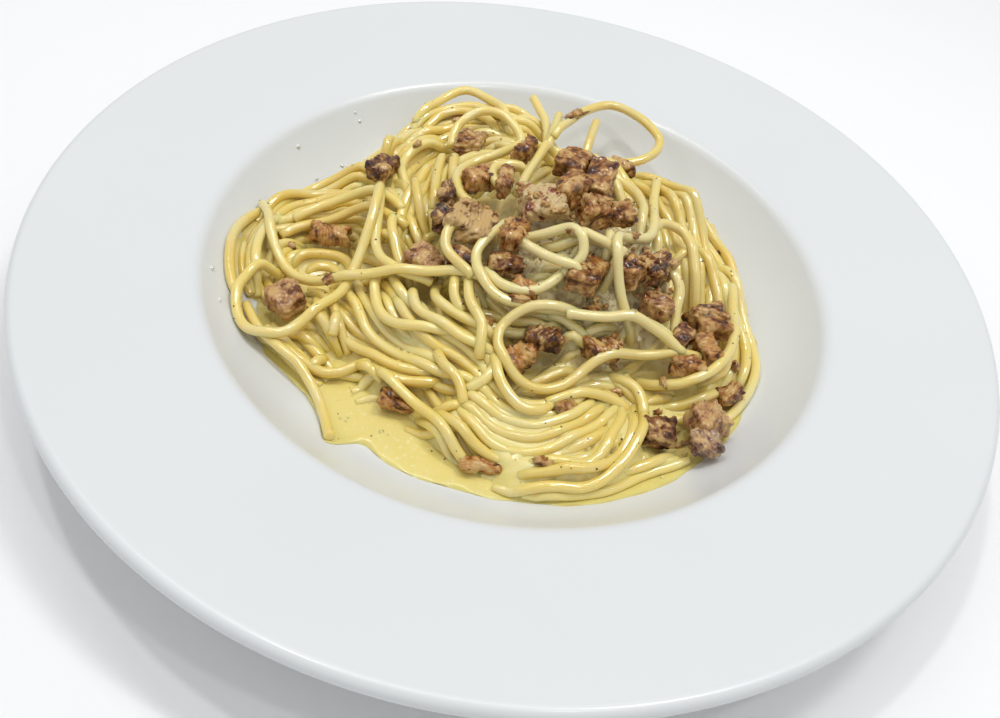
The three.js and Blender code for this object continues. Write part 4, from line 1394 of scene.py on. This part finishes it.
def glint_drop_look():
    """Thin glossy drops, whose pale colour is a painted highlight of glints on the wall."""
    look = Shader("glint_drops")
    # Paler than the glaze: painted highlight
    color = look.mix(look.noise(0.8, 2), (0.80, 0.80, 0.72), (0.86, 0.85, 0.78))
    look.set(color=color, roughness=0.08, specular=0.8)
    look.bump(look.noise(1.5, 2), 0.03, 0.3)
    return look.material


def floor_look():
    look = Shader("floor")
    color = look.mix(look.noise(0.004, 2), (0.90, 0.90, 0.90), (0.92, 0.92, 0.92))
    look.set(color=color, roughness=0.75)
    return look.material


# ---- Studio ----


def make_camera():
    rise = math.radians(CAMERA_ELEVATION)
    place = Vector((0, -math.cos(rise), math.sin(rise))) * CAMERA_DISTANCE
    back = place.normalized()
    right = Vector((1, 0, 0))
    up = back.cross(right)
    forward = -back
    forward += right * math.tan(math.radians(CAMERA_PAN)) + up * math.tan(math.radians(CAMERA_TILT))
    forward.normalize()
    right = forward.cross(Vector((0, 0, 1))).normalized()
    up = right.cross(forward)
    roll = math.radians(CAMERA_ROLL)
    across = right * math.cos(roll) + up * math.sin(roll)
    upwards = up * math.cos(roll) - right * math.sin(roll)
    data = bpy.data.cameras.new("camera")
    data.lens = LENS
    data.sensor_width = SENSOR
    data.sensor_fit = "HORIZONTAL"
    data.clip_start = 0.01
    camera = new_object("camera", data)
    turn = Matrix((across, upwards, -forward)).transposed().to_4x4()
    camera.matrix_world = Matrix.Translation((place + Vector((0, 0, CREASE_Z))) * MM) @ turn
    bpy.context.scene.camera = camera


def make_lamp(name, place, length, width, power):
    """A lamp that faces the dish. Its length lies along X."""
    data = bpy.data.lights.new(name, "AREA")
    data.shape = "ELLIPSE"
    data.size = length * MM
    data.size_y = width * MM
    data.energy = power
    lamp = new_object(name, data)
    lamp.location = Vector(place) * MM
    lamp.rotation_euler = Vector(place).to_track_quat("Z", "Y").to_euler()


def make_studio():
    world = bpy.data.worlds.new("studio")
    world.use_nodes = True
    sky = world.node_tree.nodes["Background"].inputs
    sky["Color"].default_value = (*SKY_COLOR, 1)
    sky["Strength"].default_value = SKY_STRENGTH
    bpy.context.scene.world = world
    bpy.context.scene.view_settings.view_transform = "Standard"
    for lamp in LAMPS:
        make_lamp(*lamp)
    corners = [(x * STAGE_HALF, y * STAGE_HALF, 0) for x, y in ((-1, -1), (1, -1), (1, 1), (-1, 1))]
    floor = new_object("floor", new_mesh("floor", corners, [(0, 1, 2, 3)]))
    floor.data.materials.append(floor_look())


# ---- The dish ----


def make_pasta(bed, with_bacon, blocked, material):
    """Lays the strands from the lowest to the highest and makes their meshes. Returns the map of
    the pasta, and the cream's surface as it is before the single strands are laid on it."""
    pasta = core_height(MAP_X, MAP_Y)
    for x, y, half_x, half_y in GAPS:
        gap = np.hypot((MAP_X - x) / half_x, (MAP_Y - y) / half_y) < 1
        pasta[gap] = 0
        blocked = blocked | gap
    floor = np.maximum(PLATE_RELIEF, bed - POOL_SINK)
    under = lay_fillers(pasta, floor, blocked)
    bundles = lay_bundles(pasta, floor, blocked)
    under += lay_hollows(pasta, floor, blocked)
    cream = cream_height(pasta, bed)
    grounds = {
        "sunk": PLATE_RELIEF,
        "under": floor,
        "over": np.maximum(floor, with_bacon - PRESS),
    }
    top = lay_singles(pasta, grounds, blocked)
    half = len(bundles) // 2
    # The strands under the bundles take darker, deeper tones as painted shade
    make_strands("spaghetti_under", under, UNDER_SIDES, material, paleness=UNDER_SHADE_PALENESS)
    make_strands("spaghetti_lower", bundles[:half], BUNDLE_SIDES, material)
    make_strands("spaghetti_upper", bundles[half:], BUNDLE_SIDES, material)
    make_strands("spaghetti_top", top, TOP_SIDES, material, tapered=False)
    return pasta, cream


def make_food():
    pasta_material = pasta_look()
    sauce_material = cream_look("sauce", (0.86, 0.77, 0.33), (0.79, 0.65, 0.20), (0.92, 0.86, 0.54))
    cream_material = cream_look("cream", (0.84, 0.74, 0.34), (0.76, 0.58, 0.16), (0.88, 0.80, 0.48))
    bacon_materials = {key: bacon_look(*colors) for key, colors in BACON_COLORS.items()}
    bed = pool_height(MAP_X, MAP_Y)
    with_bacon, blocked = bacon_ground(bed, make_bacon(bacon_materials))
    pasta, cream = make_pasta(bed, with_bacon, blocked, pasta_material)
    make_pool(sauce_material)
    make_cream(np.minimum(cream, np.maximum(pasta, bed) + CREAM_LID), bed, cream_material)
    surface = np.maximum.reduce([pasta, bed, cream, with_bacon])
    make_crumbs(surface, pasta, bacon_materials["b"])
    make_pepper(surface, bed, pepper_look())
    make_flecks(bed, sauce_material)
    make_glint_drops(glint_drop_look())


make_plate(china_look())
make_food()
make_camera()
make_studio()
